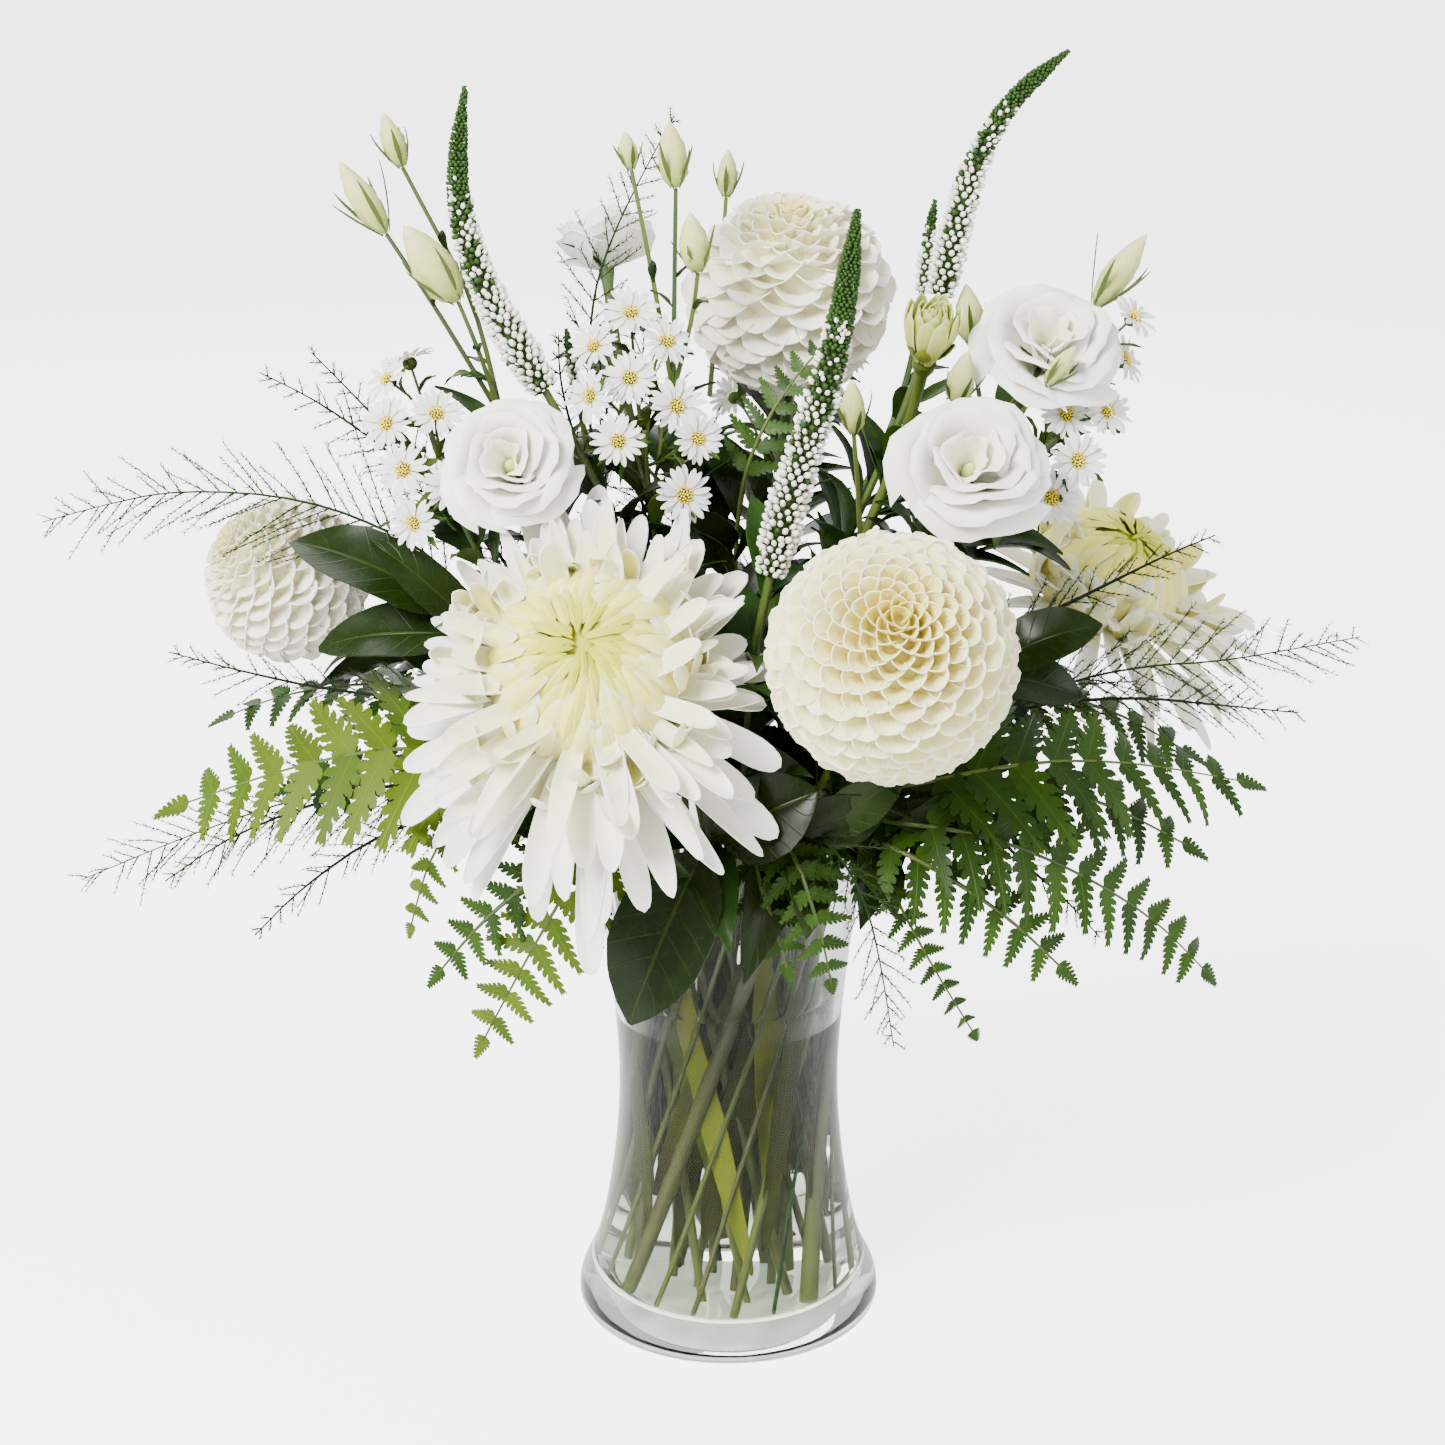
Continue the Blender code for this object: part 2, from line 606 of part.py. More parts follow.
def build_lisianthus(name, radius, roll=0.0, segments=14):
    """An open cup of broad petals wound round a shallow eye."""
    base, facing = HEADS[name]
    r = radius
    profile = [(0.0, 0.0), (r * 0.16, 0.0), (r * 0.52, r * 0.2), (r * 0.9, r * 0.62), (r, r * 1.02),
               (r * 0.86, r * 1.2), (r * 0.6, r * 1.24), (r * 0.42, r * 1.3), (r * 0.24, r * 1.12),
               (0.0, r * 0.9)]

    def folds(ring, turn):
        depth = (0.0, 0.0, 0.02, 0.05, 0.07, 0.06, 0.05, 0.05, 0.03, 0.0)[ring]
        wave = math.sin(3 * turn + ring * 0.9) + 0.5 * math.sin(5 * turn - ring * 0.6)
        return 1.0 + depth * wave, depth * r * 0.5 * math.cos(4 * turn + ring)

    verts, faces = turned(profile, segments, folds)
    add_body(name, placed(verts, base, facing, roll), faces, WHITE_PETAL)


def build_bud_head(name, radius, length):
    base, facing = HEADS[name]
    profile = [(0.0, 0.0), (radius * 0.4, 0.0), (radius * 0.85, length * 0.2), (radius, length * 0.5),
               (radius * 0.8, length * 0.8), (radius * 0.4, length * 0.96), (0.0, length)]
    verts, faces = turned(profile, 10)
    add_body(name, placed(verts, base, facing), faces, CREAM_PETAL)


def spike(points, widths, rings, sides=8):
    """A flower spike: a tapering rod whose rings swell and draw in like rows of small florets."""
    places = spaced(points, [1.0] * (rings - 1))
    radii = []
    for i in range(rings):
        t = i / (rings - 1)
        base = np.interp(t, [0.0, 0.12, 0.55, 0.85, 1.0], widths)
        radii.append(base * (1.08 if i % 2 else 0.9))
    return tube(places, radii, sides)


def build_veronica(name, points, widths):
    verts, faces = spike(points, widths, 15)
    add_body(name, verts, faces, WHITE_PETAL)


def add_union(name, solids, colour):
    verts, faces = join_solids(solids)
    add_body(name, verts, faces, colour)


def branch(points, radius, taper=0.7):
    points = [np.array(p, dtype=float) for p in points]
    count = len(points)
    radii = [radius * (1 - (1 - taper) * i / max(count - 1, 1)) for i in range(count)]
    return tube(points, radii, 4)


def build_aster_spray(name, flowers, radius=0.9):
    """A spray of small daisies: a stem with one thin side stalk to the underside of each flower."""
    stem_radius, route = STEMS[name]
    fork = np.array(route[-1], dtype=float)
    top = np.mean([np.array(f[0], dtype=float) for f in flowers], axis=0)
    axis = top - fork
    spine = [np.array(p, dtype=float) for p in route] + [fork + axis * 0.5]
    solids = [tube(spine, [stem_radius] * (len(route)) + [stem_radius * 0.8])]
    tail = [np.array(route[-2], dtype=float), fork, fork + axis * 0.5]
    for i, (centre, facing) in enumerate(flowers):
        facing = unit(facing)
        centre = np.array(centre, dtype=float)
        foot = centre - facing * 4.5
        share = (i % 4) / 3.0
        start = tail[0] + (tail[1] - tail[0]) * (0.55 + 0.45 * share) if i % 2 else \
            tail[1] + (tail[2] - tail[1]) * 0.9 * share
        bend = foot - facing * min(14.0, np.linalg.norm(foot - start) * 0.4)
        middle = (start + bend) / 2 + np.array((0.0, 0.0, -2.0))
        solids.append(branch([start, middle, bend, foot], radius))
        solids.append(small_daisy(centre, facing))
    add_union(name, solids, WHITE_PETAL)


def build_bud_spray(name, shoots, thin=1.3):
    """shoots: (list of points from the fork to the bud's foot, bud tip, bud radius)."""
    stem_radius, route = STEMS[name]
    solids = [tube(route, [stem_radius] * len(route))]
    for points, tip, radius in shoots:
        first = np.array(route[-2], dtype=float) * 0.3 + np.array(route[-1], dtype=float) * 0.7
        solids.append(branch([first] + list(points), thin, 0.85))
        foot = np.array(points[-1], dtype=float)
        axis = unit(np.array(tip, dtype=float) - foot)
        solids.append(closed_bud(foot - axis * 0.8, tip, radius))
    add_union(name, solids, GREEN_STEM)


def build_twig(name, extra, leaves):
    """A leafy twig: its stem goes on past the table route, and leaves stand on it."""
    radius, route = STEMS[name]
    points = list(route) + list(extra)
    radii = [radius] * len(route) + [radius * 0.75] * len(extra)
    solids = [tube(points, radii)]
    for base, tip, width, hint in leaves:
        solids.append(broad_leaf(base, tip, width, hint))
    add_union(name, solids, DARK_LEAF)


def build_frond(name, rachis, pairs, longest, width, hint, colour=FERN_GREEN, **more):
    radius, route = STEMS[name]
    verts, faces = frond(route, radius, rachis, pairs, longest, width, hint, **more)
    add_body(name, verts, faces, colour)


# Sprays, twigs and fronds: the parts past each table route, in millimetres

ASTERS = {
    "aster_left": [
        ((-132, -8, 400), (-0.6, -0.4, 0.6)), ((-125, 6, 405), (-0.3, 0.2, 0.9)), ((-131, -24, 386), (-0.4, -0.8, 0.5)),
        ((-112, -24, 390), (0.1, -0.8, 0.6)), ((-124, -36, 371), (-0.3, -0.9, 0.3)), ((-106, -42, 366), (0.2, -0.9, 0.4)),
        ((-120, -44, 352), (-0.3, -0.9, 0.1)),
    ],
    "aster_centre": [
        ((-38, 2, 424), (0.0, -0.7, 0.7)), ((-52, -4, 412), (-0.4, -0.7, 0.6)), ((-24, -4, 414), (0.3, -0.8, 0.6)),
        ((-38, -20, 403), (-0.1, -0.9, 0.4)), ((-53, -25, 397), (-0.5, -0.8, 0.3)), ((-20, -28, 394), (0.3, -0.9, 0.4)),
        ((-42, -36, 382), (-0.1, -0.9, 0.4)), ((-12, -40, 384), (0.3, -0.9, 0.3)), ((-17, -40, 362), (0.2, -1.0, 0.2)),
    ],
    "aster_right": [
        ((157, 4, 422), (0.6, -0.4, 0.7)), ((155, 10, 404), (0.8, -0.3, 0.4)), ((130, -16, 388), (0.1, -0.8, 0.5)),
        ((146, -12, 388), (0.5, -0.8, 0.4)), ((133, -34, 374), (0.2, -0.9, 0.3)), ((124, -28, 358), (0.2, -0.9, 0.2)),
    ],
    "aster_back": [
        ((30, 120, 398), (0.2, 0.6, 0.7)), ((8, 118, 390), (-0.3, 0.6, 0.7)), ((50, 112, 385), (0.5, 0.6, 0.6)),
        ((22, 134, 372), (0.0, 0.9, 0.4)), ((44, 130, 362), (0.4, 0.8, 0.3)), ((2, 128, 364), (-0.4, 0.8, 0.3)),
    ],
}

BUD_SPRAYS = {
    "lisianthus_buds_left": [
        ([(-112, -2, 425), (-131.5, 0, 455)], (-149, 0, 483), 5.6),
        ([(-99, 8, 428), (-115, 10, 458), (-125.5, 10, 479)], (-132.5, 10, 500), 4.8),
        ([(-97, -6, 412), (-104, -7, 430)], (-124, -8, 460), 8.5),
    ],
    "lisianthus_buds_centre": [
        ([(-30, 6, 440), (-37.5, 10, 478)], (-40, 10, 493), 3.8),
        ([(-21, 6, 440), (-20.5, 10, 471)], (-23, 10, 497), 6.0),
        ([(-14, 2, 422), (-12, 0, 440)], (-15, -2, 464), 6.0),
    ],
    "lisianthus_buds_right": [
        ([(122, 14, 400), (143, 15, 424)], (163, 20, 452), 6.0),
        ([(98, 16, 392), (96, 20, 408)], (93, 22, 432), 6.0),
    ],
}

TWIGS = {
    "twig_left": (
        [(-104, -40, 312)],
        [((-103, -39.6, 311.5), (-172, -12, 336), 30, (0.1, -0.6, 0.8)),
         ((-96, -37.5, 304), (-160, -28, 297), 27, (0.0, -0.6, 0.8)),
         ((-93, -36.4, 300.5), (-138, -36, 343), 18, (0.5, -0.8, 0.3))],
    ),
    "twig_right": (
        [(104, -17, 287)],
        [((103, -16.9, 286.5), (146, -24, 306), 25, (-0.1, -0.7, 0.7)),
         ((92, -16, 280), (141, -14, 273), 25, (0.1, -0.6, 0.8))],
    ),
    "twig_front": (
        [(-7, -74, 236)],
        [((-7, -73.6, 235.8), (-38, -92, 166), 40, (-0.1, -0.9, 0.6)),
         ((-7, -73.4, 235.7), (34, -84, 258), 36, (0.1, -0.9, 0.4))],
    ),
    "twig_centre": (
        [(-2, 4, 340)],
        [((-1.6, 3.8, 338), (-16, 24, 374), 24, (0.4, -0.7, 0.5)),
         ((1.2, 2.4, 326), (-22, -16, 350), 22, (-0.4, -0.8, 0.5))],
    ),
    "twig_back": (
        [(12, 100, 296)],
        [((11.8, 99.6, 295.5), (62, 126, 306), 32, (0.1, 0.5, 0.9)),
         ((11, 97, 291), (-46, 128, 290), 30, (-0.1, 0.5, 0.9)),
         ((10.4, 93.6, 286.5), (20, 128, 240), 32, (0.1, 0.9, 0.4))],
    ),
}

FERNS = {
    "fern_left": ([(-104, -50, 262), (-128, -55, 266), (-153, -56, 262), (-178, -52, 254), (-213, -44, 239)],
                  7, 47, 12, (-0.2, -0.6, 0.75)),
    "fern_right": ([(100, -58, 258), (125, -54, 260), (150, -46, 257), (175, -34, 250), (204, -20, 240)],
                   7, 44, 12, (0.1, -0.5, 0.85)),
    "fern_right_low": ([(95, -76, 238), (120, -76, 229), (145, -73, 215), (168, -67, 197), (187, -60, 175)],
                       7, 31, 10, (0.3, -0.7, 0.6)),
    "fern_centre": ([(27, -88, 228), (32, -94, 214), (36, -95, 200), (39, -94, 184)], 5, 20, 7.5, (0.1, -0.9, 0.4)),
    "fern_lower": ([(-57, -77, 225), (-67, -83, 209), (-79, -86, 188), (-95, -87, 157)], 6, 28, 9, (-0.3, -0.85, 0.4)),
    "fern_small_left": ([(-92, -54, 243), (-107, -60, 236), (-117, -64, 221), (-124, -65, 195)],
                        5, 18, 7.5, (-0.5, -0.7, 0.5)),
    "fern_folded": ([(59, -71, 222), (68, -77, 204), (80, -82, 183), (95, -86, 159)], 6, 13, 8, (0.2, -0.8, 0.55)),
    "fern_back_right": ([(66, 100, 258), (78, 116, 256), (90, 131, 246), (99, 144, 229), (104, 152, 210)],
                        7, 36, 10.5, (0.3, 0.5, 0.8)),
    "fern_back_left": ([(-70, 97, 258), (-83, 112, 256), (-96, 126, 247), (-106, 138, 230), (-112, 146, 211)],
                       7, 36, 10.5, (-0.3, 0.5, 0.8)),
    "fern_dark_left": ([(-115, 30, 262), (-140, 34, 264), (-166, 36, 262), (-188, 36, 257), (-206, 35, 250)],
                       7, 34, 10.5, (-0.1, -0.2, 0.95)),
    "fern_top": ([(12, 2, 376), (20, 4, 390), (29, 6, 402), (39, 7, 412)], 6, 18, 7.5, (-0.2, -0.8, 0.5)),
}

ASPARAGUS = {
    "asparagus_left": ([(-128, 3, 334), (-168, 5, 350), (-218, 10, 352), (-250, 16, 344), (-275, 20, 336)],
                       10, 48, 1.6, (0.0, -0.7, 0.7)),
    "asparagus_left_low": ([(-125, -15, 240), (-165, -13, 233), (-212, -10, 216), (-262, -12, 195)],
                           8, 46, 1.6, (0.0, -0.6, 0.8)),
    "asparagus_right": ([(134, -6, 277), (165, -10, 285), (195, -8, 286), (228, 4, 288), (256, 20, 288)],
                        9, 44, 1.6, (0.0, -0.6, 0.8)),
    "asparagus_low": ([(42, -88, 234), (52, -98, 218), (58, -101, 192), (63, -100, 160)],
                      6, 26, 1.5, (0.2, -0.9, 0.3)),
    "asparagus_back": ([(-20, 110, 332), (-28, 122, 358), (-38, 132, 384), (-50, 140, 408)],
                       7, 42, 1.6, (0.2, 0.9, 0.2)),
    "asparagus_top": ([(-53, 17, 430), (-45, 20, 452), (-34, 22, 474), (-21, 24, 497)], 8, 26, 1.5, (0.1, -0.9, 0.2)),
}

SPIKES = {
    "veronica_left": ([(-70.7, -20, 399), (-87.9, -12, 424), (-99.5, -4, 449), (-105, 2, 475), (-100.7, 8, 510)],
                      (5.6, 7.4, 5.6, 3.6, 1.2)),
    "veronica_centre": ([(15.3, -70, 338.9), (22.7, -66, 370), (34.4, -62, 403), (42.5, -60, 440), (46.8, -58, 474)],
                        (5.8, 7.8, 6.4, 4.4, 1.6)),
    "veronica_right": ([(82.8, 20, 427.8), (88.1, 20, 453), (95.2, 21, 480), (108.6, 25, 503), (130.9, 30, 521)],
                       (5.4, 6.6, 5.0, 3.6, 1.2)),
}

SMALL_SPIKES = {
    "veronica_small_right": ([(80, 60, 440), (82.7, 60, 459)], 3.4),
    "veronica_small_left": ([(-62, 20, 400), (-64, 20, 414)], 3.0),
}


def build_all():
    clear_scene()
    build_vase()
    build_water()
    build_chrysanthemum("chrysanthemum_front", 41.0, 78.0, 0.0, 0.55)
    build_chrysanthemum("chrysanthemum_right", 36.0, 64.0, 0.0, 0.35)
    build_dahlia("dahlia_front", 44.0)
    build_dahlia("dahlia_top", 39.0)
    build_dahlia("dahlia_left", 31.0)
    build_bud_head("dahlia_bud", 12.5, 29.0)
    build_lisianthus("lisianthus_left", 23.0, 0.3)
    build_lisianthus("lisianthus_right", 26.0, 1.1)
    build_lisianthus("lisianthus_upper_right", 25.0, 2.0)
    build_lisianthus("lisianthus_back", 20.0, 0.7)
    for name, (points, widths) in SPIKES.items():
        build_veronica(name, points, widths)
        add_stem(name + "_stem")
    for name, (points, wide) in SMALL_SPIKES.items():
        radius, route = STEMS[name]
        rod = tube(route, [radius] * len(route))
        head = spike([route[-1]] + points, (wide * 0.8, wide, wide * 0.9, wide * 0.6, 0.8), 7, 6)
        add_union(name, [rod, head], FERN_GREEN)
    add_stem("chrysanthemum_front_stem", calyx=(13.0, 11.0))
    add_stem("chrysanthemum_right_stem", calyx=(12.0, 10.0))
    add_stem("dahlia_front_stem", calyx=(9.0, 9.0))
    add_stem("dahlia_top_stem", calyx=(9.0, 9.0))
    add_stem("dahlia_left_stem", calyx=(8.0, 7.0))
    add_stem("dahlia_bud_stem", calyx=(6.0, 5.0))
    add_stem("lisianthus_left_stem", calyx=(7.0, 3.6))
    add_stem("lisianthus_right_stem", calyx=(7.0, 3.8))
    add_stem("lisianthus_upper_right_stem", calyx=(7.0, 3.8))
    add_stem("lisianthus_back_stem", calyx=(7.0, 3.4))
    for name, flowers in ASTERS.items():
        build_aster_spray(name, flowers)
    for name, shoots in BUD_SPRAYS.items():
        build_bud_spray(name, shoots)
    for name, (extra, leaves) in TWIGS.items():
        build_twig(name, extra, leaves)
    for name, (rachis, pairs, longest, width, hint) in FERNS.items():
        build_frond(name, rachis, pairs, longest, width, hint)
    for name, (rachis, pairs, longest, width, hint) in ASPARAGUS.items():
        build_frond(name, rachis, pairs, longest, width, hint, GREY_GREEN, droop=0.05, lean=0.9, half=0.5,
                    shortest=0.35)


build_all()
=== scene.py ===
# Looks of a vase of flowers: clear glass, water, stems, white blooms, ferns and sprays, with the floor,
# the lights and the camera. Lengths in the tables are millimetres. The vase stands on z = 0 with its axis
# on the z axis, and the front of the bouquet faces -Y.
import math

import bpy
import numpy as np
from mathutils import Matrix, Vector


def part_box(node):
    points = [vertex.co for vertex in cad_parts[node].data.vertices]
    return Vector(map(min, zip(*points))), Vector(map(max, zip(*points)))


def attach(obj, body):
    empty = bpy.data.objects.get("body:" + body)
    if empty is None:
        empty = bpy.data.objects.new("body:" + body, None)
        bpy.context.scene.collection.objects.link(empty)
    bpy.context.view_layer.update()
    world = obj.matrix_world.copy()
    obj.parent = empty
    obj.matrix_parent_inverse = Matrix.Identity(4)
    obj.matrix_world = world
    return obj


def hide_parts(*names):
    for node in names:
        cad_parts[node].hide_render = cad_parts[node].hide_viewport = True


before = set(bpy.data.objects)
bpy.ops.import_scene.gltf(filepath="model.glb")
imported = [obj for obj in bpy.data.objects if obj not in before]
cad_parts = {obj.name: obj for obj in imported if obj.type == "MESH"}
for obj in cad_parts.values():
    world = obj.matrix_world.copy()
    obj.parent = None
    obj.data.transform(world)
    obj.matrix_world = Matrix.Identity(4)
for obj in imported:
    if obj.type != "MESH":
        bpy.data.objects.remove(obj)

bl_info = {
    "name": "Vase of flowers",
    "version": (1, 0, 0),
    "blender": (4, 5, 0),
    "location": "3D View > Sidebar > Bouquet",
    "description": "Builds the visible pieces of a glass vase with a white bouquet",
    "category": "Object",
}

MM = 0.001
GOLDEN_TURN = math.pi * (3.0 - math.sqrt(5.0))
# A whole turn and a fifth of one in radians, as exact as a flower needs.
WHOLE_TURN = 6.28
FIFTH_TURN = 1.2566
# The gap between a stem and its head, and between a stalk and the wall of the neck.
GAP = 0.3
# The spacing of the points on a stem's curve, and how far its ends hold their way as a share of its length.
CURVE_SPACING = 7.0
CURVE_HOLD = 0.38
# How closely the rows of a petal blank crowd towards its tip, and the fold that still looks smooth.
TIP_CROWDING = 1.5
SMOOTH_FOLD = math.radians(55.0)

# The box of the CAD model in millimetres. The finest needles stay inside it.
LOW_CORNERS, HIGH_CORNERS = zip(*[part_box(node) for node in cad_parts])
FRAME_BOX = (np.min(LOW_CORNERS, axis=0) / MM, np.max(HIGH_CORNERS, axis=0) / MM)


# Tables: heads, stems, sprays, twigs and fronds

# How much round room each flower head takes, in millimetres, so that the filler leaves keep out of it.
HEAD_ROOM = {
    "chrysanthemum_front": 46.0, "chrysanthemum_right": 40.0, "dahlia_front": 45.0, "dahlia_top": 40.0,
    "dahlia_left": 32.0, "dahlia_bud": 14.0, "lisianthus_left": 26.0, "lisianthus_right": 28.0,
    "lisianthus_upper_right": 27.0, "lisianthus_back": 22.0,
}

# More fronds that fill the bouquet low down and between the blooms, each written like those in FERNS.
FILL_FERNS = {
    "fill_right": ([(92, -46, 250), (120, -42, 246), (150, -36, 236), (182, -28, 216)], 40, 11,
        (0.1, -0.55, 0.8)),
    "fill_right_low": ([(62, -72, 232), (84, -80, 222), (108, -84, 206), (128, -84, 186)], 32, 10,
        (0.2, -0.8, 0.55)),
    "fill_right_back": ([(96, 24, 262), (128, 30, 262), (160, 34, 252), (190, 36, 234)], 42, 11,
        (0.1, -0.3, 0.95)),
    "fill_left": ([(-84, -30, 250), (-112, -26, 254), (-142, -22, 250), (-172, -18, 238)], 42, 11,
        (-0.1, -0.5, 0.85)),
    "fill_left_low": ([(-52, -66, 232), (-74, -74, 220), (-96, -78, 202), (-112, -78, 182)], 28, 9,
        (-0.3, -0.8, 0.55)),
    "fill_middle": ([(8, -72, 232), (12, -84, 220), (18, -91, 204), (22, -93, 190)], 24, 8,
        (0.0, -0.9, 0.4)),
    "fill_back": ([(4, 78, 254), (6, 104, 254), (8, 124, 242), (10, 138, 222)], 40, 11, (0.0, 0.5, 0.85)),
    "fill_far_left": ([(-70, 60, 262), (-100, 76, 268), (-132, 88, 262), (-162, 94, 246)], 42, 11,
        (-0.2, 0.2, 0.95)),
    "fill_far_right": ([(74, 62, 262), (104, 80, 266), (136, 92, 258), (164, 98, 240)], 42, 11,
        (0.2, 0.2, 0.95)),
}

# More fine sprays, each written like those in ASPARAGUS.
FILL_SPRAYS = {
    "fill_spray_upper_left": ([(-88, 2, 330), (-130, 4, 366), (-160, 6, 388), (-184, 10, 399)], 32,
        (0.0, -0.8, 0.6)),
    "fill_spray_high_left": ([(-92, -4, 332), (-124, -2, 368), (-146, 0, 392), (-162, 0, 409)], 26,
        (0.0, -0.8, 0.6)),
    "fill_spray_left_middle": ([(-110, 14, 262), (-160, 10, 268), (-200, 8, 278), (-226, 12, 284)], 34,
        (0.0, -0.6, 0.8)),
    "fill_spray_left_low": ([(-100, -30, 246), (-150, -32, 240), (-196, -38, 224), (-223, -40, 205)], 34,
        (0.0, -0.6, 0.8)),
    "fill_spray_left_under": ([(-92, -40, 240), (-136, -46, 228), (-168, -50, 206), (-187, -50, 186)], 26,
        (0.0, -0.6, 0.8)),
    "fill_spray_centre": ([(-28, 0, 336), (-44, 0, 370), (-50, 0, 396), (-50, 0, 416)], 26,
        (0.0, -0.9, 0.3)),
    "fill_spray_centre_left": ([(-44, 4, 338), (-60, 2, 372), (-66, 0, 398), (-66, 0, 416)], 22,
        (0.0, -0.9, 0.3)),
    "fill_spray_right_high": ([(112, 28, 286), (150, 28, 306), (178, 30, 320), (197, 30, 328)], 32,
        (0.0, -0.7, 0.7)),
    "fill_spray_right_low": ([(110, 6, 262), (160, 4, 268), (200, 10, 262), (232, 16, 257)], 36,
        (0.0, -0.6, 0.8)),
    "fill_spray_right_under": ([(96, -56, 240), (112, -60, 222), (132, -58, 204), (146, -52, 186)], 22,
        (0.1, -0.8, 0.4)),
    "fill_spray_back": ([(10, 88, 280), (22, 110, 300), (30, 124, 320), (34, 130, 342)], 32,
        (0.1, 0.9, 0.3)),
}

# Small closed buds between the blooms: where each one starts on the bouquet, its tip and its radius.
FILL_BUDS = (
    ([(52, -6, 330), (50, -16, 360), (48, -20, 381)], (47, -22, 403), 5.0),
    ([(96, -8, 366), (110, -22, 388), (121, -28, 402)], (131, -32, 418), 4.0),
    ([(72, -2, 350), (84, -12, 376), (87, -18, 392)], (91, -22, 414), 5.5),
    ([(-8, 100, 370), (-3, 108, 424), (-1, 110, 452)], (0, 111, 472), 4.5),
)

# The vase as (radius, height): up the outside, over the rim and down the inside.
VASE_PROFILE = [
    (0.0, 0.0), (54.0, 0.0), (60.5, 1.5), (63.2, 6.0), (63.2, 11.0), (61.5, 18.0), (57.0, 25.0), (53.2, 37.0),
    (49.4, 57.0), (46.6, 78.0), (45.2, 100.0), (45.6, 120.0), (48.2, 150.0), (52.6, 184.0), (57.2, 206.6),
    (59.6, 215.0), (58.9, 216.0), (57.4, 216.0), (56.6, 215.0), (54.2, 206.6), (49.6, 184.0), (45.2, 150.0),
    (42.6, 120.0), (42.2, 100.0), (43.6, 78.0), (46.4, 57.0), (50.2, 37.0), (52.6, 25.0), (52.0, 17.0),
    (48.5, 13.4), (42.0, 12.4), (0.0, 12.4),
]
OUTER_WALL = VASE_PROFILE[3:15]
INNER_WALL = VASE_PROFILE[18:30]
NECK_WALL = VASE_PROFILE[18:26]

# Flower heads: the point where the head meets its stem and the direction in which it faces.
HEADS = {
    "chrysanthemum_front": ((-51.1, -66.7, 289.9), (-0.08, -0.78, 0.62)),
    "dahlia_front": ((58.9, -77.6, 295.4), (0.02, -0.80, 0.60)),
    "dahlia_top": ((24.8, 70.2, 390), (0.00, -0.30, 0.95)),
    "dahlia_left": ((-160, 32.6, 294.5), (-0.73, -0.28, 0.63)),
    "dahlia_bud": ((75.7, -3.2, 405.7), (0.10, -0.45, 0.89)),
    "lisianthus_left": ((-82, -36.9, 369.9), (-0.10, -0.82, 0.56)),
    "lisianthus_right": ((89.5, -49.3, 369.6), (0.05, -0.75, 0.66)),
    "lisianthus_upper_right": ((121.3, -1.4, 404.4), (0.15, -0.62, 0.77)),
    "lisianthus_back": ((-48.8, 44.3, 433.7), (-0.10, 0.40, 0.91)),
    "chrysanthemum_right": ((153.2, 83.7, 279), (0.45, -0.32, 0.83)),
}

# In the vase the stems are straight and lean round the axis in rings, so that no two of them meet. A ring is
# its radius at the cut ends, its radius at the rim and the turn between the two in degrees.
RINGS = {
    "outer": (46.0, 47.0, 88.0),
    "middle": (32.0, 33.0, -88.0),
    "inner": (18.0, 18.5, 60.0),
    "core": (6.0, 6.5, 40.0),
}
RIM_HEIGHT = 216.0
FLOOR_HEIGHT = 12.9

# The stem of each head: its ring, its place round the rim in degrees and its radius.
HEAD_STEMS = {
    "chrysanthemum_front": ("outer", -120, 4.0),
    "dahlia_front": ("outer", -60, 3.2),
    "chrysanthemum_right": ("outer", 40, 4.0),
    "dahlia_left": ("outer", 180, 2.8),
    "lisianthus_left": ("middle", -135, 2.0),
    "lisianthus_right": ("middle", -45, 2.0),
    "lisianthus_upper_right": ("middle", -15, 2.0),
    "dahlia_bud": ("inner", -22.5, 2.2),
    "dahlia_top": ("inner", 67.5, 2.8),
    "lisianthus_back": ("inner", 112.5, 2.0),
}

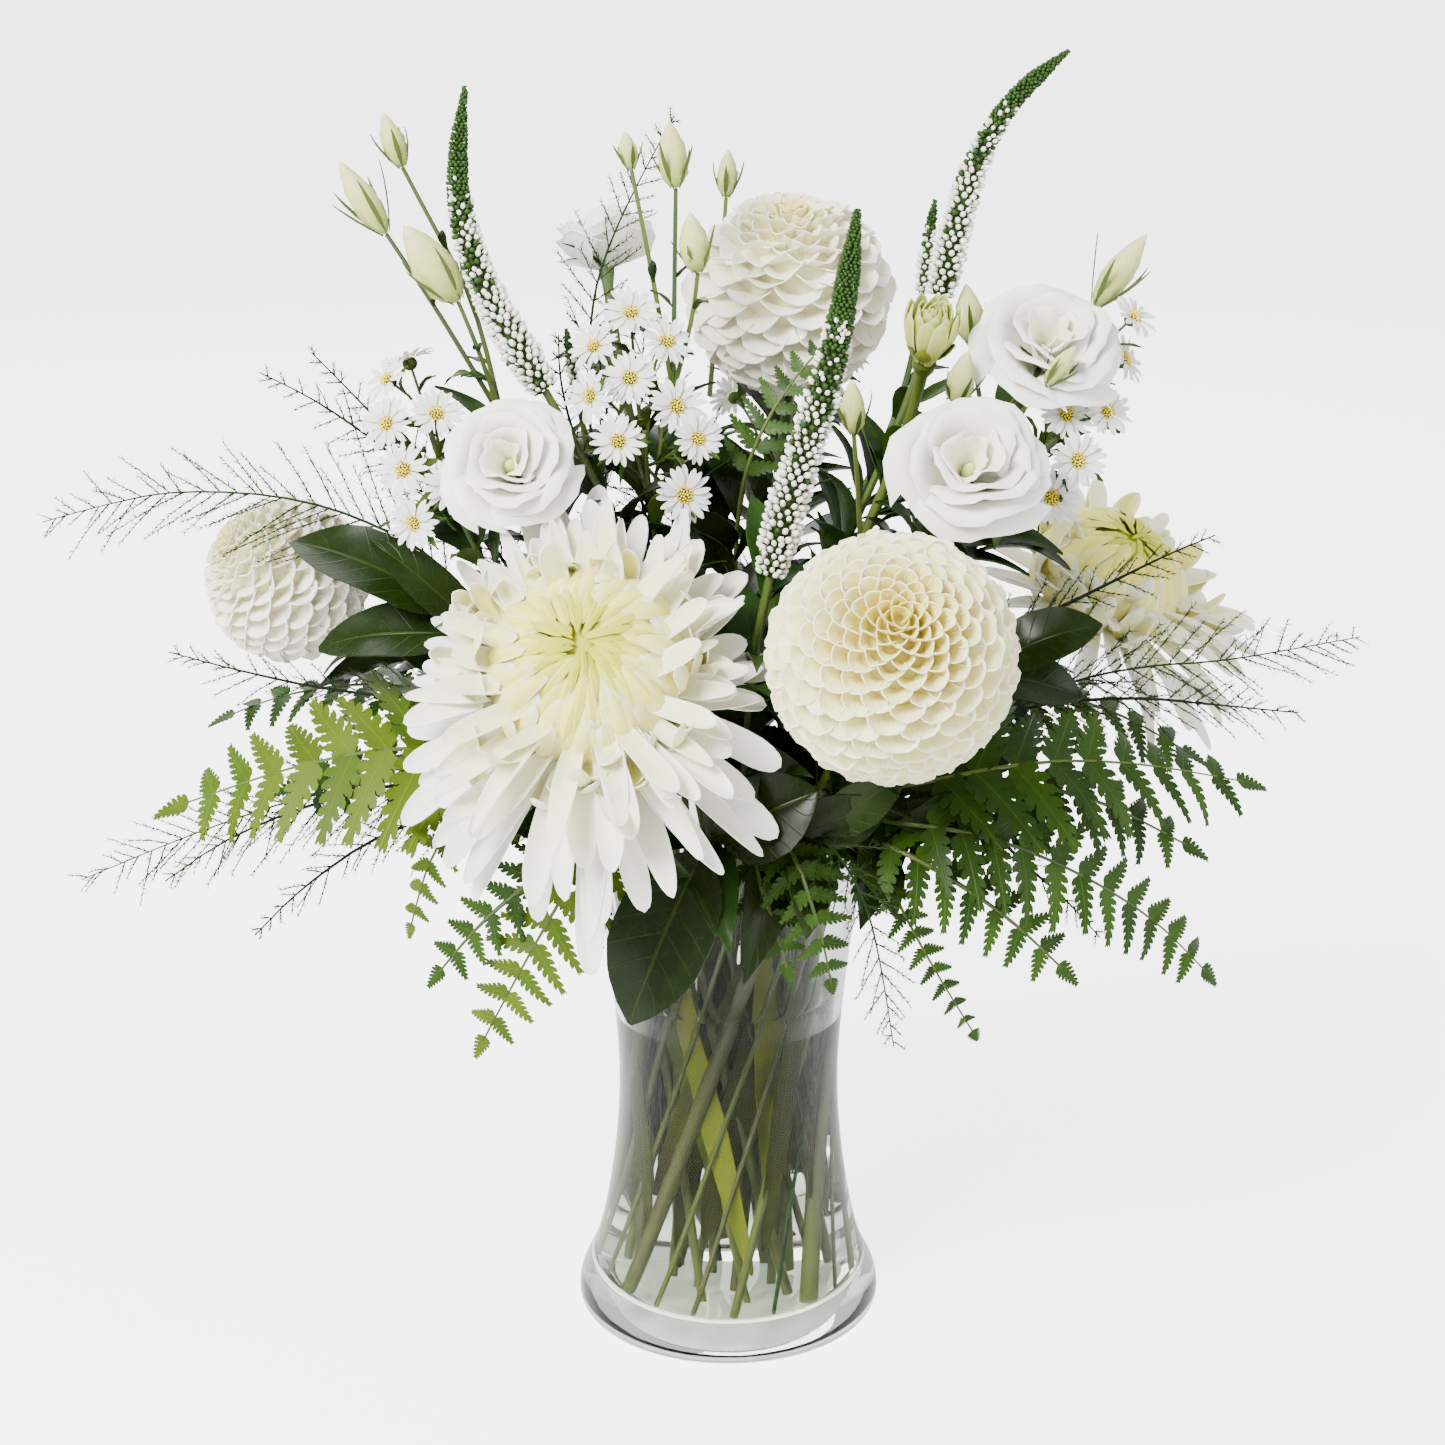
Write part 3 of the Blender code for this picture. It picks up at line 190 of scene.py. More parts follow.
# The stems that end at a fork, a first leaf or a spike: the same three values, then the point where the
# plain stem ends and its direction there.
SPRAY_STEMS = {
    "veronica_left_stem": ("inner", -157.5, 1.6, (-70.5, -20, 398.2), (-0.5, 0.1, 0.85)),
    "veronica_centre_stem": ("middle", -75, 1.8, (15.3, -70, 338.5), (0.2, 0.0, 1.0)),
    "veronica_right_stem": ("inner", 22.5, 1.6, (82.8, 20, 427.5), (0.2, 0, 1)),
    "veronica_small_right": ("core", 0, 1.3, (78.2, 60, 422.4), (0.05, 0, 1)),
    "veronica_small_left": ("core", 180, 1.3, (-59.7, 20, 385.8), (-0.1, 0, 1)),
    "aster_left": ("middle", -165, 1.4, (-104, -30, 352), (-0.4, 0.1, 1)),
    "aster_centre": ("middle", -105, 1.4, (-32, -18, 368), (-0.1, 0.1, 1)),
    "aster_right": ("middle", 15, 1.4, (112, -20, 368), (0.4, 0, 1)),
    "aster_back": ("middle", 75, 1.4, (25, 85, 345), (0.1, 0.5, 1)),
    "lisianthus_buds_left": ("middle", 165, 1.7, (-93, 0, 394), (-0.35, 0, 1)),
    "lisianthus_buds_centre": ("inner", -112.5, 1.6, (-22, 4, 400), (0, 0, 1)),
    "lisianthus_buds_right": ("middle", 45, 1.6, (104, 10, 378), (0.4, 0, 1)),
    "twig_left": ("outer", -140, 1.8, (-92, -36, 300), (-0.7, -0.1, 0.6)),
    "twig_right": ("outer", 0, 1.8, (92, -16, 280), (0.8, -0.1, 0.4)),
    "twig_back": ("outer", 80, 1.8, (10, 92, 285), (0.1, 0.8, 0.5)),
    "twig_centre": ("middle", 105, 1.6, (2, 2, 322), (0.1, -0.3, 0.9)),
    "twig_front": ("outer", -100, 1.6, (-8, -68, 232), (-0.1, -0.9, 0.1)),
    "fern_left": ("outer", -160, 1.1, (-84, -44, 256), (-0.9, -0.25, 0.3)),
    "fern_right": ("outer", -20, 1.1, (76, -56, 252), (0.9, -0.1, 0.25)),
    "fern_right_low": ("outer", -40, 1.1, (74, -72, 240), (0.9, -0.2, 0.05)),
    "fern_centre": ("outer", -80, 1.1, (22, -76, 234), (0.3, -0.8, 0.1)),
    "fern_back_right": ("outer", 60, 1.1, (55, 85, 252), (0.5, 0.8, 0.2)),
    "fern_back_left": ("outer", 120, 1.1, (-58, 82, 252), (-0.5, 0.8, 0.2)),
    "fern_dark_left": ("outer", 140, 1.1, (-92, 24, 256), (-0.9, 0.1, 0.3)),
    "fern_top": ("inner", -67.5, 1.1, (6, 0, 360), (0.2, 0.1, 1)),
    "asparagus_left": ("outer", 160, 0.9, (-110, 4, 318), (-0.6, -0.05, 0.7)),
    "asparagus_right": ("outer", 20, 0.9, (105, -2, 258), (0.9, -0.1, 0.4)),
    "asparagus_back": ("outer", 100, 0.9, (-14, 96, 300), (-0.1, 0.5, 0.8)),
    "asparagus_top": ("inner", 157.5, 0.9, (-56, 16, 396), (0, 0, 1)),
}

# Short stalks that stand only in the neck, against its wall: the place round the rim in degrees, the radius
# and two points over the rim. A stalk bends at the neck heights, and the neck room is how much farther than
# the gap it stands off the wall there.
NECK_HEIGHTS = (170.0, 190.0, 213.0)
NECK_ROOM = (0.0, 0.1, 1.5)
NECK_STALKS = {
    "fern_lower": (-128, 1.0, [(-39, -55, 228), (-48, -67, 231)]),
    "fern_small_left": (-152, 1.0, [(-60, -35, 231), (-78, -46, 241)]),
    "fern_folded": (-50, 1.0, [(41, -51, 229), (50, -62, 231)]),
    "asparagus_left_low": (-172, 0.8, [(-68, -10, 232), (-90, -14, 240)]),
    "asparagus_low": (-68, 0.8, [(26, -61, 230), (34, -76, 237)]),
}

# The flowers of each aster spray: the centre of the flower and the way it faces.
ASTERS = {
    "aster_left": [((-132, -8, 400), (-0.6, -0.4, 0.6)), ((-125, 6, 405), (-0.3, 0.2, 0.9)),
        ((-131, -24, 386), (-0.4, -0.8, 0.5)), ((-112, -24, 390), (0.1, -0.8, 0.6)), ((-124, -36, 371),
        (-0.3, -0.9, 0.3)), ((-106, -42, 366), (0.2, -0.9, 0.4)), ((-120, -44, 352), (-0.3, -0.9, 0.1))],
    "aster_centre": [((-38, 2, 424), (0.0, -0.7, 0.7)), ((-52, -4, 412), (-0.4, -0.7, 0.6)),
        ((-24, -4, 414), (0.3, -0.8, 0.6)), ((-38, -20, 403), (-0.1, -0.9, 0.4)), ((-53, -25, 397),
        (-0.5, -0.8, 0.3)), ((-20, -28, 394), (0.3, -0.9, 0.4)), ((-42, -36, 382), (-0.1, -0.9, 0.4)),
        ((-12, -40, 384), (0.3, -0.9, 0.3)), ((-17, -40, 362), (0.2, -1.0, 0.2))],
    "aster_right": [((157, 4, 422), (0.6, -0.4, 0.7)), ((155, 10, 404), (0.8, -0.3, 0.4)), ((130, -16, 388),
        (0.1, -0.8, 0.5)), ((146, -12, 388), (0.5, -0.8, 0.4)), ((133, -34, 374), (0.2, -0.9, 0.3)),
        ((124, -28, 358), (0.2, -0.9, 0.2))],
    "aster_back": [((30, 120, 398), (0.2, 0.6, 0.7)), ((8, 118, 390), (-0.3, 0.6, 0.7)), ((50, 112, 385),
        (0.5, 0.6, 0.6)), ((22, 134, 372), (0.0, 0.9, 0.4)), ((44, 130, 362), (0.4, 0.8, 0.3)),
        ((2, 128, 364), (-0.4, 0.8, 0.3))],
}

# The buds of each spray: the points of the stalk, the tip of the bud and its radius.
BUD_SPRAYS = {
    "lisianthus_buds_left": [([(-112, -2, 425), (-131.5, 0, 455)], (-149, 0, 483), 5.6), ([(-99, 8, 428),
        (-115, 10, 458), (-125.5, 10, 479)], (-132.5, 10, 500), 4.8), ([(-97, -6, 412), (-104, -7, 430)],
        (-124, -8, 460), 8.5)],
    "lisianthus_buds_centre": [([(-30, 6, 440), (-37.5, 10, 478)], (-40, 10, 493), 3.8), ([(-21, 6, 440),
        (-20.5, 10, 471)], (-23, 10, 497), 6.0), ([(-14, 2, 422), (-12, 0, 440)], (-15, -2, 464), 6.0)],
    "lisianthus_buds_right": [([(122, 14, 400), (143, 15, 424)], (163, 20, 452), 6.0), ([(98, 16, 392),
        (96, 20, 408)], (93, 22, 432), 6.0)],
}

# Each twig: the points past its plain stem, then its leaves as base, tip, width and the way the leaf faces.
TWIGS = {
    "twig_left": ([(-104, -40, 312)], [((-103, -39.6, 311.5), (-172, -12, 336), 30, (0.1, -0.6, 0.8)),
        ((-96, -37.5, 304), (-160, -28, 297), 27, (0.0, -0.6, 0.8)), ((-93, -36.4, 300.5), (-138, -36, 343),
        18, (0.5, -0.8, 0.3))]),
    "twig_right": ([(104, -17, 287)], [((103, -16.9, 286.5), (146, -24, 306), 25, (-0.1, -0.7, 0.7)),
        ((92, -16, 280), (141, -14, 273), 25, (0.1, -0.6, 0.8))]),
    "twig_front": ([(-7, -74, 236)], [((-7, -73.6, 235.8), (-38, -92, 166), 40, (-0.1, -0.9, 0.6)),
        ((-7, -73.4, 235.7), (34, -84, 258), 36, (0.1, -0.9, 0.4))]),
    "twig_centre": ([(-2, 4, 340)], [((-1.6, 3.8, 338), (-16, 24, 374), 24, (0.4, -0.7, 0.5)),
        ((1.2, 2.4, 326), (-22, -16, 350), 22, (-0.4, -0.8, 0.5))]),
    "twig_back": ([(12, 100, 296)], [((11.8, 99.6, 295.5), (62, 126, 306), 32, (0.1, 0.5, 0.9)),
        ((11, 97, 291), (-46, 128, 290), 30, (-0.1, 0.5, 0.9)), ((10.4, 93.6, 286.5), (20, 128, 240), 32,
        (0.1, 0.9, 0.4))]),
}

# Each frond: the points of its rachis, its longest leaflet, the width of its tip and the way it faces.
FERNS = {
    "fern_left": ([(-104, -50, 262), (-128, -55, 266), (-153, -56, 262), (-178, -52, 254),
        (-213, -44, 239)], 47, 12, (-0.2, -0.6, 0.75)),
    "fern_right": ([(100, -58, 258), (125, -54, 260), (150, -46, 257), (175, -34, 250), (204, -20, 240)],
        44, 12, (0.1, -0.5, 0.85)),
    "fern_right_low": ([(95, -76, 238), (120, -76, 229), (145, -73, 215), (168, -67, 197), (187, -60, 175)],
        31, 10, (0.3, -0.7, 0.6)),
    "fern_centre": ([(27, -88, 228), (32, -94, 214), (36, -95, 200), (39, -94, 184)], 20, 7.5,
        (0.1, -0.9, 0.4)),
    "fern_lower": ([(-57, -77, 225), (-67, -83, 209), (-79, -86, 188), (-95, -87, 157)], 28, 9,
        (-0.3, -0.85, 0.4)),
    "fern_small_left": ([(-92, -54, 243), (-107, -60, 236), (-117, -64, 221), (-124, -65, 195)], 18, 7.5,
        (-0.5, -0.7, 0.5)),
    "fern_folded": ([(59, -71, 222), (68, -77, 204), (80, -82, 183), (95, -86, 159)], 13, 8,
        (0.2, -0.8, 0.55)),
    "fern_back_right": ([(66, 100, 258), (78, 116, 256), (90, 131, 246), (99, 144, 229), (104, 152, 210)],
        36, 10.5, (0.3, 0.5, 0.8)),
    "fern_back_left": ([(-70, 97, 258), (-83, 112, 256), (-96, 126, 247), (-106, 138, 230),
        (-112, 146, 211)], 36, 10.5, (-0.3, 0.5, 0.8)),
    "fern_dark_left": ([(-115, 30, 262), (-140, 34, 264), (-166, 36, 262), (-188, 36, 257),
        (-206, 35, 250)], 34, 10.5, (-0.1, -0.2, 0.95)),
    "fern_top": ([(12, 2, 376), (20, 4, 390), (29, 6, 402), (39, 7, 412)], 18, 7.5, (-0.2, -0.8, 0.5)),
}

# Each fine spray: the points of its rachis, its longest branchlet and the way it faces.
ASPARAGUS = {
    "asparagus_left": ([(-128, 3, 334), (-168, 5, 350), (-218, 10, 352), (-250, 16, 344), (-275, 20, 336)],
        48, (0.0, -0.7, 0.7)),
    "asparagus_left_low": ([(-125, -15, 240), (-165, -13, 233), (-212, -10, 216), (-262, -12, 195)], 46,
        (0.0, -0.6, 0.8)),
    "asparagus_right": ([(134, -6, 277), (165, -10, 285), (195, -8, 286), (228, 4, 288), (256, 20, 288)],
        44, (0.0, -0.6, 0.8)),
    "asparagus_low": ([(42, -88, 234), (52, -98, 218), (58, -101, 192), (63, -100, 160)], 26,
        (0.2, -0.9, 0.3)),
    "asparagus_back": ([(-20, 110, 332), (-28, 122, 358), (-38, 132, 384), (-50, 140, 408)], 42,
        (0.2, 0.9, 0.2)),
    "asparagus_top": ([(-53, 17, 430), (-45, 20, 452), (-34, 22, 474), (-21, 24, 497)], 26,
        (0.1, -0.9, 0.2)),
}

# Each spike: its points from the stem to the tip, and its radius at five places on the way.
SPIKES = {
    "veronica_left": ([(-70.7, -20, 399), (-87.9, -12, 424), (-99.5, -4, 449), (-105, 2, 475),
        (-100.7, 8, 510)], (5.6, 7.4, 5.6, 3.6, 1.2)),
    "veronica_centre": ([(15.3, -70, 338.9), (22.7, -66, 370), (34.4, -62, 403), (42.5, -60, 440),
        (46.8, -58, 474)], (5.8, 7.8, 6.4, 4.4, 1.6)),
    "veronica_right": ([(82.8, 20, 427.8), (88.1, 20, 453), (95.2, 21, 480), (108.6, 25, 503),
        (130.9, 30, 521)], (5.4, 6.6, 5.0, 3.6, 1.2)),
}

# The small spikes: their points over the stem, and their greatest radius.
SMALL_SPIKES = {
    "veronica_small_right": ([(80, 60, 440), (82.7, 60, 459)], 3.4),
    "veronica_small_left": ([(-62, 20, 400), (-64, 20, 414)], 3.0),
}

# The cup under each head as its height and its radius. The spikes have none.
STEM_CUPS = {
    "chrysanthemum_front_stem": (13.0, 11.0), "chrysanthemum_right_stem": (12.0, 10.0),
    "dahlia_front_stem": (9.0, 9.0), "dahlia_top_stem": (9.0, 9.0), "dahlia_left_stem": (8.0, 7.0),
    "dahlia_bud_stem": (6.0, 5.0), "lisianthus_left_stem": (7.0, 3.6), "lisianthus_right_stem": (7.0, 3.8),
    "lisianthus_upper_right_stem": (7.0, 3.8), "lisianthus_back_stem": (7.0, 3.4),
    "veronica_left_stem": None, "veronica_centre_stem": None, "veronica_right_stem": None,
}

# The leaves on a flower's stem: their number, length and width.
LEAF_KINDS = {
    "chrysanthemum": (6, 52.0, 15.0), "lisianthus": (6, 52.0, 15.0), "dahlia": (6, 46.0, 13.0),
    "veronica": (8, 40.0, 9.0),
}

# The stems whose leaves would stand in front of a bloom, and the fronds that are young and pale.
BARE_STEMS = ("asparagus_left", "asparagus_back")
PALE_FERNS = ("fern_left", "fern_small_left", "fern_lower")

# The camera stands back from the front of the vase and looks a little down on it.
CAMERA_AIM = (-2.5, 258.0)
CAMERA_DISTANCE = 1300.0
CAMERA_HEIGHT_ANGLE = 18.0
CAMERA_LENS = 80.47


# Small sums

def unit(vector):
    vector = np.array(vector, dtype=float)
    return vector / np.linalg.norm(vector)


def round_axis(radius, place, height):
    place = math.radians(place)
    return np.array((radius * math.cos(place), radius * math.sin(place), height))


def ring_ends(ring, place, radius):
    """The cut end of a stem, a little over the floor of the vase, and its point at the rim."""
    foot_radius, rim_radius, turn = RINGS[ring]
    rim = round_axis(rim_radius, place, RIM_HEIGHT)
    foot = round_axis(foot_radius, place - turn, FLOOR_HEIGHT)
    raised = (0.5 + 0.36 * radius) / (RIM_HEIGHT - FLOOR_HEIGHT)
    return foot + (rim - foot) * raised, rim


def curve_between(start, start_way, end, end_way):
    """Points on a cubic curve that leaves start and reaches end in the given directions."""
    length = np.linalg.norm(end - start)
    first = start + start_way * length * CURVE_HOLD
    last = end - end_way * length * CURVE_HOLD
    points = []
    for t in np.linspace(0.0, 1.0, max(6, int(length / CURVE_SPACING))):
        s = 1.0 - t
        points.append(s ** 3 * start + 3 * s * s * t * first + 3 * s * t * t * last + t ** 3 * end)
    return points


def thinned(points, slack=0.7):
    """Leaves out the points that lie within slack of the line between their neighbours."""
    if len(points) < 3:
        return points
    line = unit(points[-1] - points[0])
    offs = [p - points[0] for p in points]
    away = [np.linalg.norm(off - line * off.dot(line)) for off in offs]
    worst = int(np.argmax(away))
    if away[worst] < slack:
        return [points[0], points[-1]]
    return thinned(points[:worst + 1], slack)[:-1] + thinned(points[worst:], slack)


def stem_route(ring, place, radius, end, end_way):
    foot, rim = ring_ends(ring, place, radius)
    curve = curve_between(rim, unit(rim - foot), np.array(end, dtype=float), unit(end_way))
    return [foot] + thinned(curve)


def neck_route(place, radius, over_rim):
    """A stalk that follows the inner wall of the neck and then bends over the rim."""
    wall = sorted((z, r) for r, z in NECK_WALL)
    route = []
    for height, room in zip(NECK_HEIGHTS, NECK_ROOM):
        inner = np.interp(height, [z for z, r in wall], [r for z, r in wall])
        clear = GAP + 1.13 * radius + room
        route.append(round_axis(inner * 0.995 - clear, place, height))
    return route + [np.array(p, dtype=float) for p in over_rim]


def all_stems():
    """Name of each stem to its radius and its route from the cut end upwards."""
    stems = {}
    for name, (ring, place, radius) in HEAD_STEMS.items():
        base, facing = HEADS[name]
        end = np.array(base, dtype=float) - unit(facing) * GAP
        stems[name + "_stem"] = (radius, stem_route(ring, place, radius, end, facing))
    for name, (ring, place, radius, end, end_way) in SPRAY_STEMS.items():
        stems[name] = (radius, stem_route(ring, place, radius, end, end_way))
    for name, (place, radius, over_rim) in NECK_STALKS.items():
        stems[name] = (radius, neck_route(place, radius, over_rim))
    return stems


STEMS = all_stems()


def rounded(points):
    """Cuts the corners of a route twice. Its straight stretches stay straight and its ends in place."""
    points = np.array(points, dtype=float)
    for _ in range(2):
        low = points[:-1] * 0.75 + points[1:] * 0.25
        high = points[:-1] * 0.25 + points[1:] * 0.75
        middle = np.stack([low, high], axis=1).reshape(-1, 3)[1:-1]
        points = np.vstack([points[:1], middle, points[-1:]])
    return points


def even_points(points, count):
    """Points at equal steps along a route."""
    points = np.array(points, dtype=float)
    steps = np.linalg.norm(np.diff(points, axis=0), axis=1)
    reach = np.concatenate([[0.0], np.cumsum(steps)])
    wanted = np.linspace(0.0, reach[-1], count)
    return np.stack([np.interp(wanted, reach, points[:, k]) for k in range(3)], axis=1)


def stem_line(route, further=()):
    """The smooth middle line of a stem, with the further points that it goes on to."""
    return np.vstack([route[0], rounded(list(route[1:]) + list(further))])


def above(line, height):
    """Even points on the part of a stem that stands over a height."""
    return even_points([p for p in line if p[2] > height], 30)


def route_length(points):
    return float(np.linalg.norm(np.diff(np.array(points, dtype=float), axis=0), axis=1).sum())


def route_ways(points):
    ways = np.gradient(np.array(points, dtype=float), axis=0)
    return ways / np.linalg.norm(ways, axis=1)[:, None]


def facing_axes(facing, roll=0.0):
    """Side, up and facing as rows. Seen from the front, side points right and up points up."""
    facing = unit(facing)
    side = np.cross((0.0, 0.0, 1.0), facing)
    if np.linalg.norm(side) < 0.05:
        side = np.array((1.0, 0.0, 0.0))
    side = unit(side)
    up = np.cross(facing, side)
    turned = math.cos(roll) * side + math.sin(roll) * up
    return np.array([turned, np.cross(facing, turned), facing])


def curve_of(pairs):
    """A smooth-enough outline from (place, value) pairs."""
    places = [p for p, v in pairs]
    values = [v for p, v in pairs]
    return lambda x: np.interp(x, places, values)


# Colours and nodes

# Patterns as repeats in a metre: the blotches of a leaf are 11 mm wide, the stains on a soaked stem 36 mm,
# the florets of an aster's disc 1.1 mm, the grain of the floor 3.3 mm, and the glass's ripples 17 by 71 mm.
LEAF_BLOTCHES = 90.0
STEM_STAINS = 28.0
DISC_GRAINS = 900.0
FLOOR_GRAINS = 300.0
GLASS_RIPPLES = (60.0, 60.0, 14.0)
# Ranges run softly and mixed values are colours.
NODE_SETTINGS = {
    "MapRange": {"interpolation_type": "SMOOTHSTEP"},
    "Mix": {"data_type": "RGBA"},
}


def colour_of(text):
    """A hex colour as the linear values that Blender's sockets take."""
    out = []
    for i in (1, 3, 5):
        c = int(text[i:i + 2], 16) / 255.0
        out.append(c / 12.92 if c <= 0.04045 else ((c + 0.055) / 1.055) ** 2.4)
    return (out[0], out[1], out[2], 1.0)


def colours_of(*texts):
    return [colour_of(text) for text in texts]


def live_output(node):
    return next(output for output in node.outputs if output.enabled)


def set_inputs(tree, node, inputs):
    """Sets inputs or links them to a socket or to a node's first live output."""
    for key, value in inputs.items():
        if isinstance(value, bpy.types.Node):
            value = live_output(value)
        if isinstance(value, bpy.types.NodeSocket):
            tree.links.new(value, node.inputs[key])
        else:
            node.inputs[key].default_value = value


def add_node(tree, kind, *values, inputs=None, **settings):
    """Adds a node, sets its properties, and links or sets its inputs: the first ones in order from values,
    and others by their name or number."""
    node = tree.nodes.new("ShaderNode" + kind)
    for key, value in {**NODE_SETTINGS.get(kind, {}), **settings}.items():
        setattr(node, key, value)
    set_inputs(tree, node, dict(enumerate(values)))
    set_inputs(tree, node, inputs or {})
    return node


def new_finish(name):
    finish = bpy.data.materials.new(name)
    finish.use_nodes = True
    tree = finish.node_tree
    return finish, tree, tree.nodes["Principled BSDF"]


def place_on(tree):
    """Across the petal or leaf (-1 to 1), along it (0 to 1), how near the heart it is (0 to 1), and the
    shade that differs from one petal to the next."""
    place = add_node(tree, "Attribute", attribute_name="place").outputs["Vector"]
    parts = add_node(tree, "SeparateXYZ", place).outputs
    shade = add_node(tree, "Attribute", attribute_name="shade").outputs["Fac"]
    return parts[0], parts[1], parts[2], shade


def petal_finish(name, outer, inner, heart_tint, rim, soft=0.25):
    """Living petal: a soft, slightly see-through skin with fine veins from base to tip. The colour runs
    from the heart of the flower to its outer petals. Each petal is darker and creamier at its base, partly
    its own colour and partly painted shade where the petals overlap, and paler at its rim and tip, partly a
    thin edge and partly painted light on the exposed edges."""
    finish, tree, skin = new_finish(name)
    across, along, heart, shade = place_on(tree)
    inward = add_node(tree, "MapRange", heart, 0.05, 0.6)
    body = add_node(tree, "Mix", inward, inputs={6: outer, 7: inner})
    centre = add_node(tree, "MapRange", heart, 0.55, 1.0)
    body = add_node(tree, "Mix", centre, inputs={6: body, 7: heart_tint})
    # Base tint: partly the petal's own creamy base, partly painted shade where the petals overlap.
    root = add_node(tree, "MapRange", along, 0.62, 0.0)
    root = add_node(tree, "Math", root, 0.62, operation="MULTIPLY")
    deep = add_node(tree, "Mix", 0.35, inputs={6: inner, 7: heart_tint})
    body = add_node(tree, "Mix", root, inputs={6: body, 7: deep})
    side = add_node(tree, "Math", across, operation="ABSOLUTE")
    # Pale rim and tip: partly a thin edge, partly painted light on exposed edges, less towards the heart.
    edge = add_node(tree, "MapRange", side, 0.62, 1.0)
    tip = add_node(tree, "MapRange", along, 0.86, 1.0)
    edge = add_node(tree, "Math", edge, tip, operation="MAXIMUM")
    fade = add_node(tree, "MapRange", heart, 0.9, 0.3, 0.0, 0.7)
    edge = add_node(tree, "Math", edge, fade, operation="MULTIPLY")
    body = add_node(tree, "Mix", edge, inputs={6: body, 7: rim})
    wide = add_node(tree, "Math", across, 7.0, operation="MULTIPLY")
    far = add_node(tree, "Math", along, 1.6, operation="MULTIPLY")
    own = add_node(tree, "Math", shade, 40.0, operation="MULTIPLY")
    spread = add_node(tree, "CombineXYZ", wide, far, own)
    vein = add_node(tree, "TexNoise", inputs={"Vector": spread, "Scale": 1.0, "Detail": 3.0,
                    "Roughness": 0.55})
    faint = add_node(tree, "MapRange", vein, 0.35, 0.68)
    faint = add_node(tree, "Math", faint, 0.10, operation="MULTIPLY")
    paler = add_node(tree, "Mix", 0.5, inputs={6: body, 7: inner})
    body = add_node(tree, "Mix", faint, inputs={6: body, 7: paler})
    dull = add_node(tree, "MapRange", shade, 0.0, 1.0, 0.92, 1.0)
    grey = add_node(tree, "CombineColor", dull, dull, dull)
    body = add_node(tree, "Mix", 1.0, inputs={6: body, 7: grey}, blend_type="MULTIPLY")
    ridge = add_node(tree, "Bump", inputs={"Height": vein, "Strength": 0.6, "Distance": 0.0006})
    set_inputs(tree, skin, {
        "Base Color": body, "Normal": ridge, "Roughness": 0.5, "Specular IOR Level": 0.25,
        "Subsurface Weight": soft, "Subsurface Radius": (1.0, 0.9, 0.6), "Subsurface Scale": 0.0012,
    })
    return finish


def leaf_finish(name, dark, light, rib, roughness, veins=9.0):
    """Leaf: waxy green skin, a paler midrib, slanting side veins and a faint blotchy growth pattern."""
    finish, tree, skin = new_finish(name)
    across, along, heart, shade = place_on(tree)
    coords = add_node(tree, "TexCoord").outputs["Object"]
    blotch = add_node(tree, "TexNoise", inputs={"Vector": coords, "Scale": LEAF_BLOTCHES, "Detail": 4.0,
                      "Roughness": 0.6})
    mottle = add_node(tree, "Math", blotch, 0.6, operation="MULTIPLY")
    own = add_node(tree, "Math", shade, 0.5, operation="MULTIPLY")
    mixed = add_node(tree, "Math", mottle, own, operation="ADD")
    growth = add_node(tree, "MapRange", mixed, 0.25, 0.85)
    body = add_node(tree, "Mix", growth, inputs={6: dark, 7: light})
    side = add_node(tree, "Math", across, operation="ABSOLUTE")
    ahead = add_node(tree, "Math", along, veins, operation="MULTIPLY")
    back = add_node(tree, "Math", side, 1.3, operation="MULTIPLY")
    slant = add_node(tree, "Math", ahead, back, operation="SUBTRACT")
    wave = add_node(tree, "Math", slant, 0.5, operation="PINGPONG")
    vein = add_node(tree, "MapRange", wave, 0.06, 0.0)
    vein = add_node(tree, "Math", vein, 0.35, operation="MULTIPLY")
    mid = add_node(tree, "MapRange", side, 0.055, 0.01)
    lines = add_node(tree, "Math", mid, vein, operation="MAXIMUM", use_clamp=True)
    shown = add_node(tree, "Math", lines, 0.36, operation="MULTIPLY")
    body = add_node(tree, "Mix", shown, inputs={6: body, 7: rib})
    tender = add_node(tree, "Math", heart, 0.6, operation="MULTIPLY")
    body = add_node(tree, "Mix", tender, inputs={6: body, 7: rib})
    bumps = add_node(tree, "Math", blotch, 0.5, operation="MULTIPLY")
    raised = add_node(tree, "Math", lines, bumps, operation="ADD")
    ridge = add_node(tree, "Bump", inputs={"Height": raised, "Strength": 0.4, "Distance": 0.0004})
    rough = add_node(tree, "MapRange", blotch, 0.3, 0.7, roughness * 0.85, roughness * 1.2)
    set_inputs(tree, skin, {
        "Base Color": body, "Normal": ridge, "Roughness": rough, "Specular IOR Level": 0.14,
        "Subsurface Weight": 0.08, "Subsurface Radius": (0.6, 1.0, 0.3), "Subsurface Scale": 0.001,
    })
    return finish


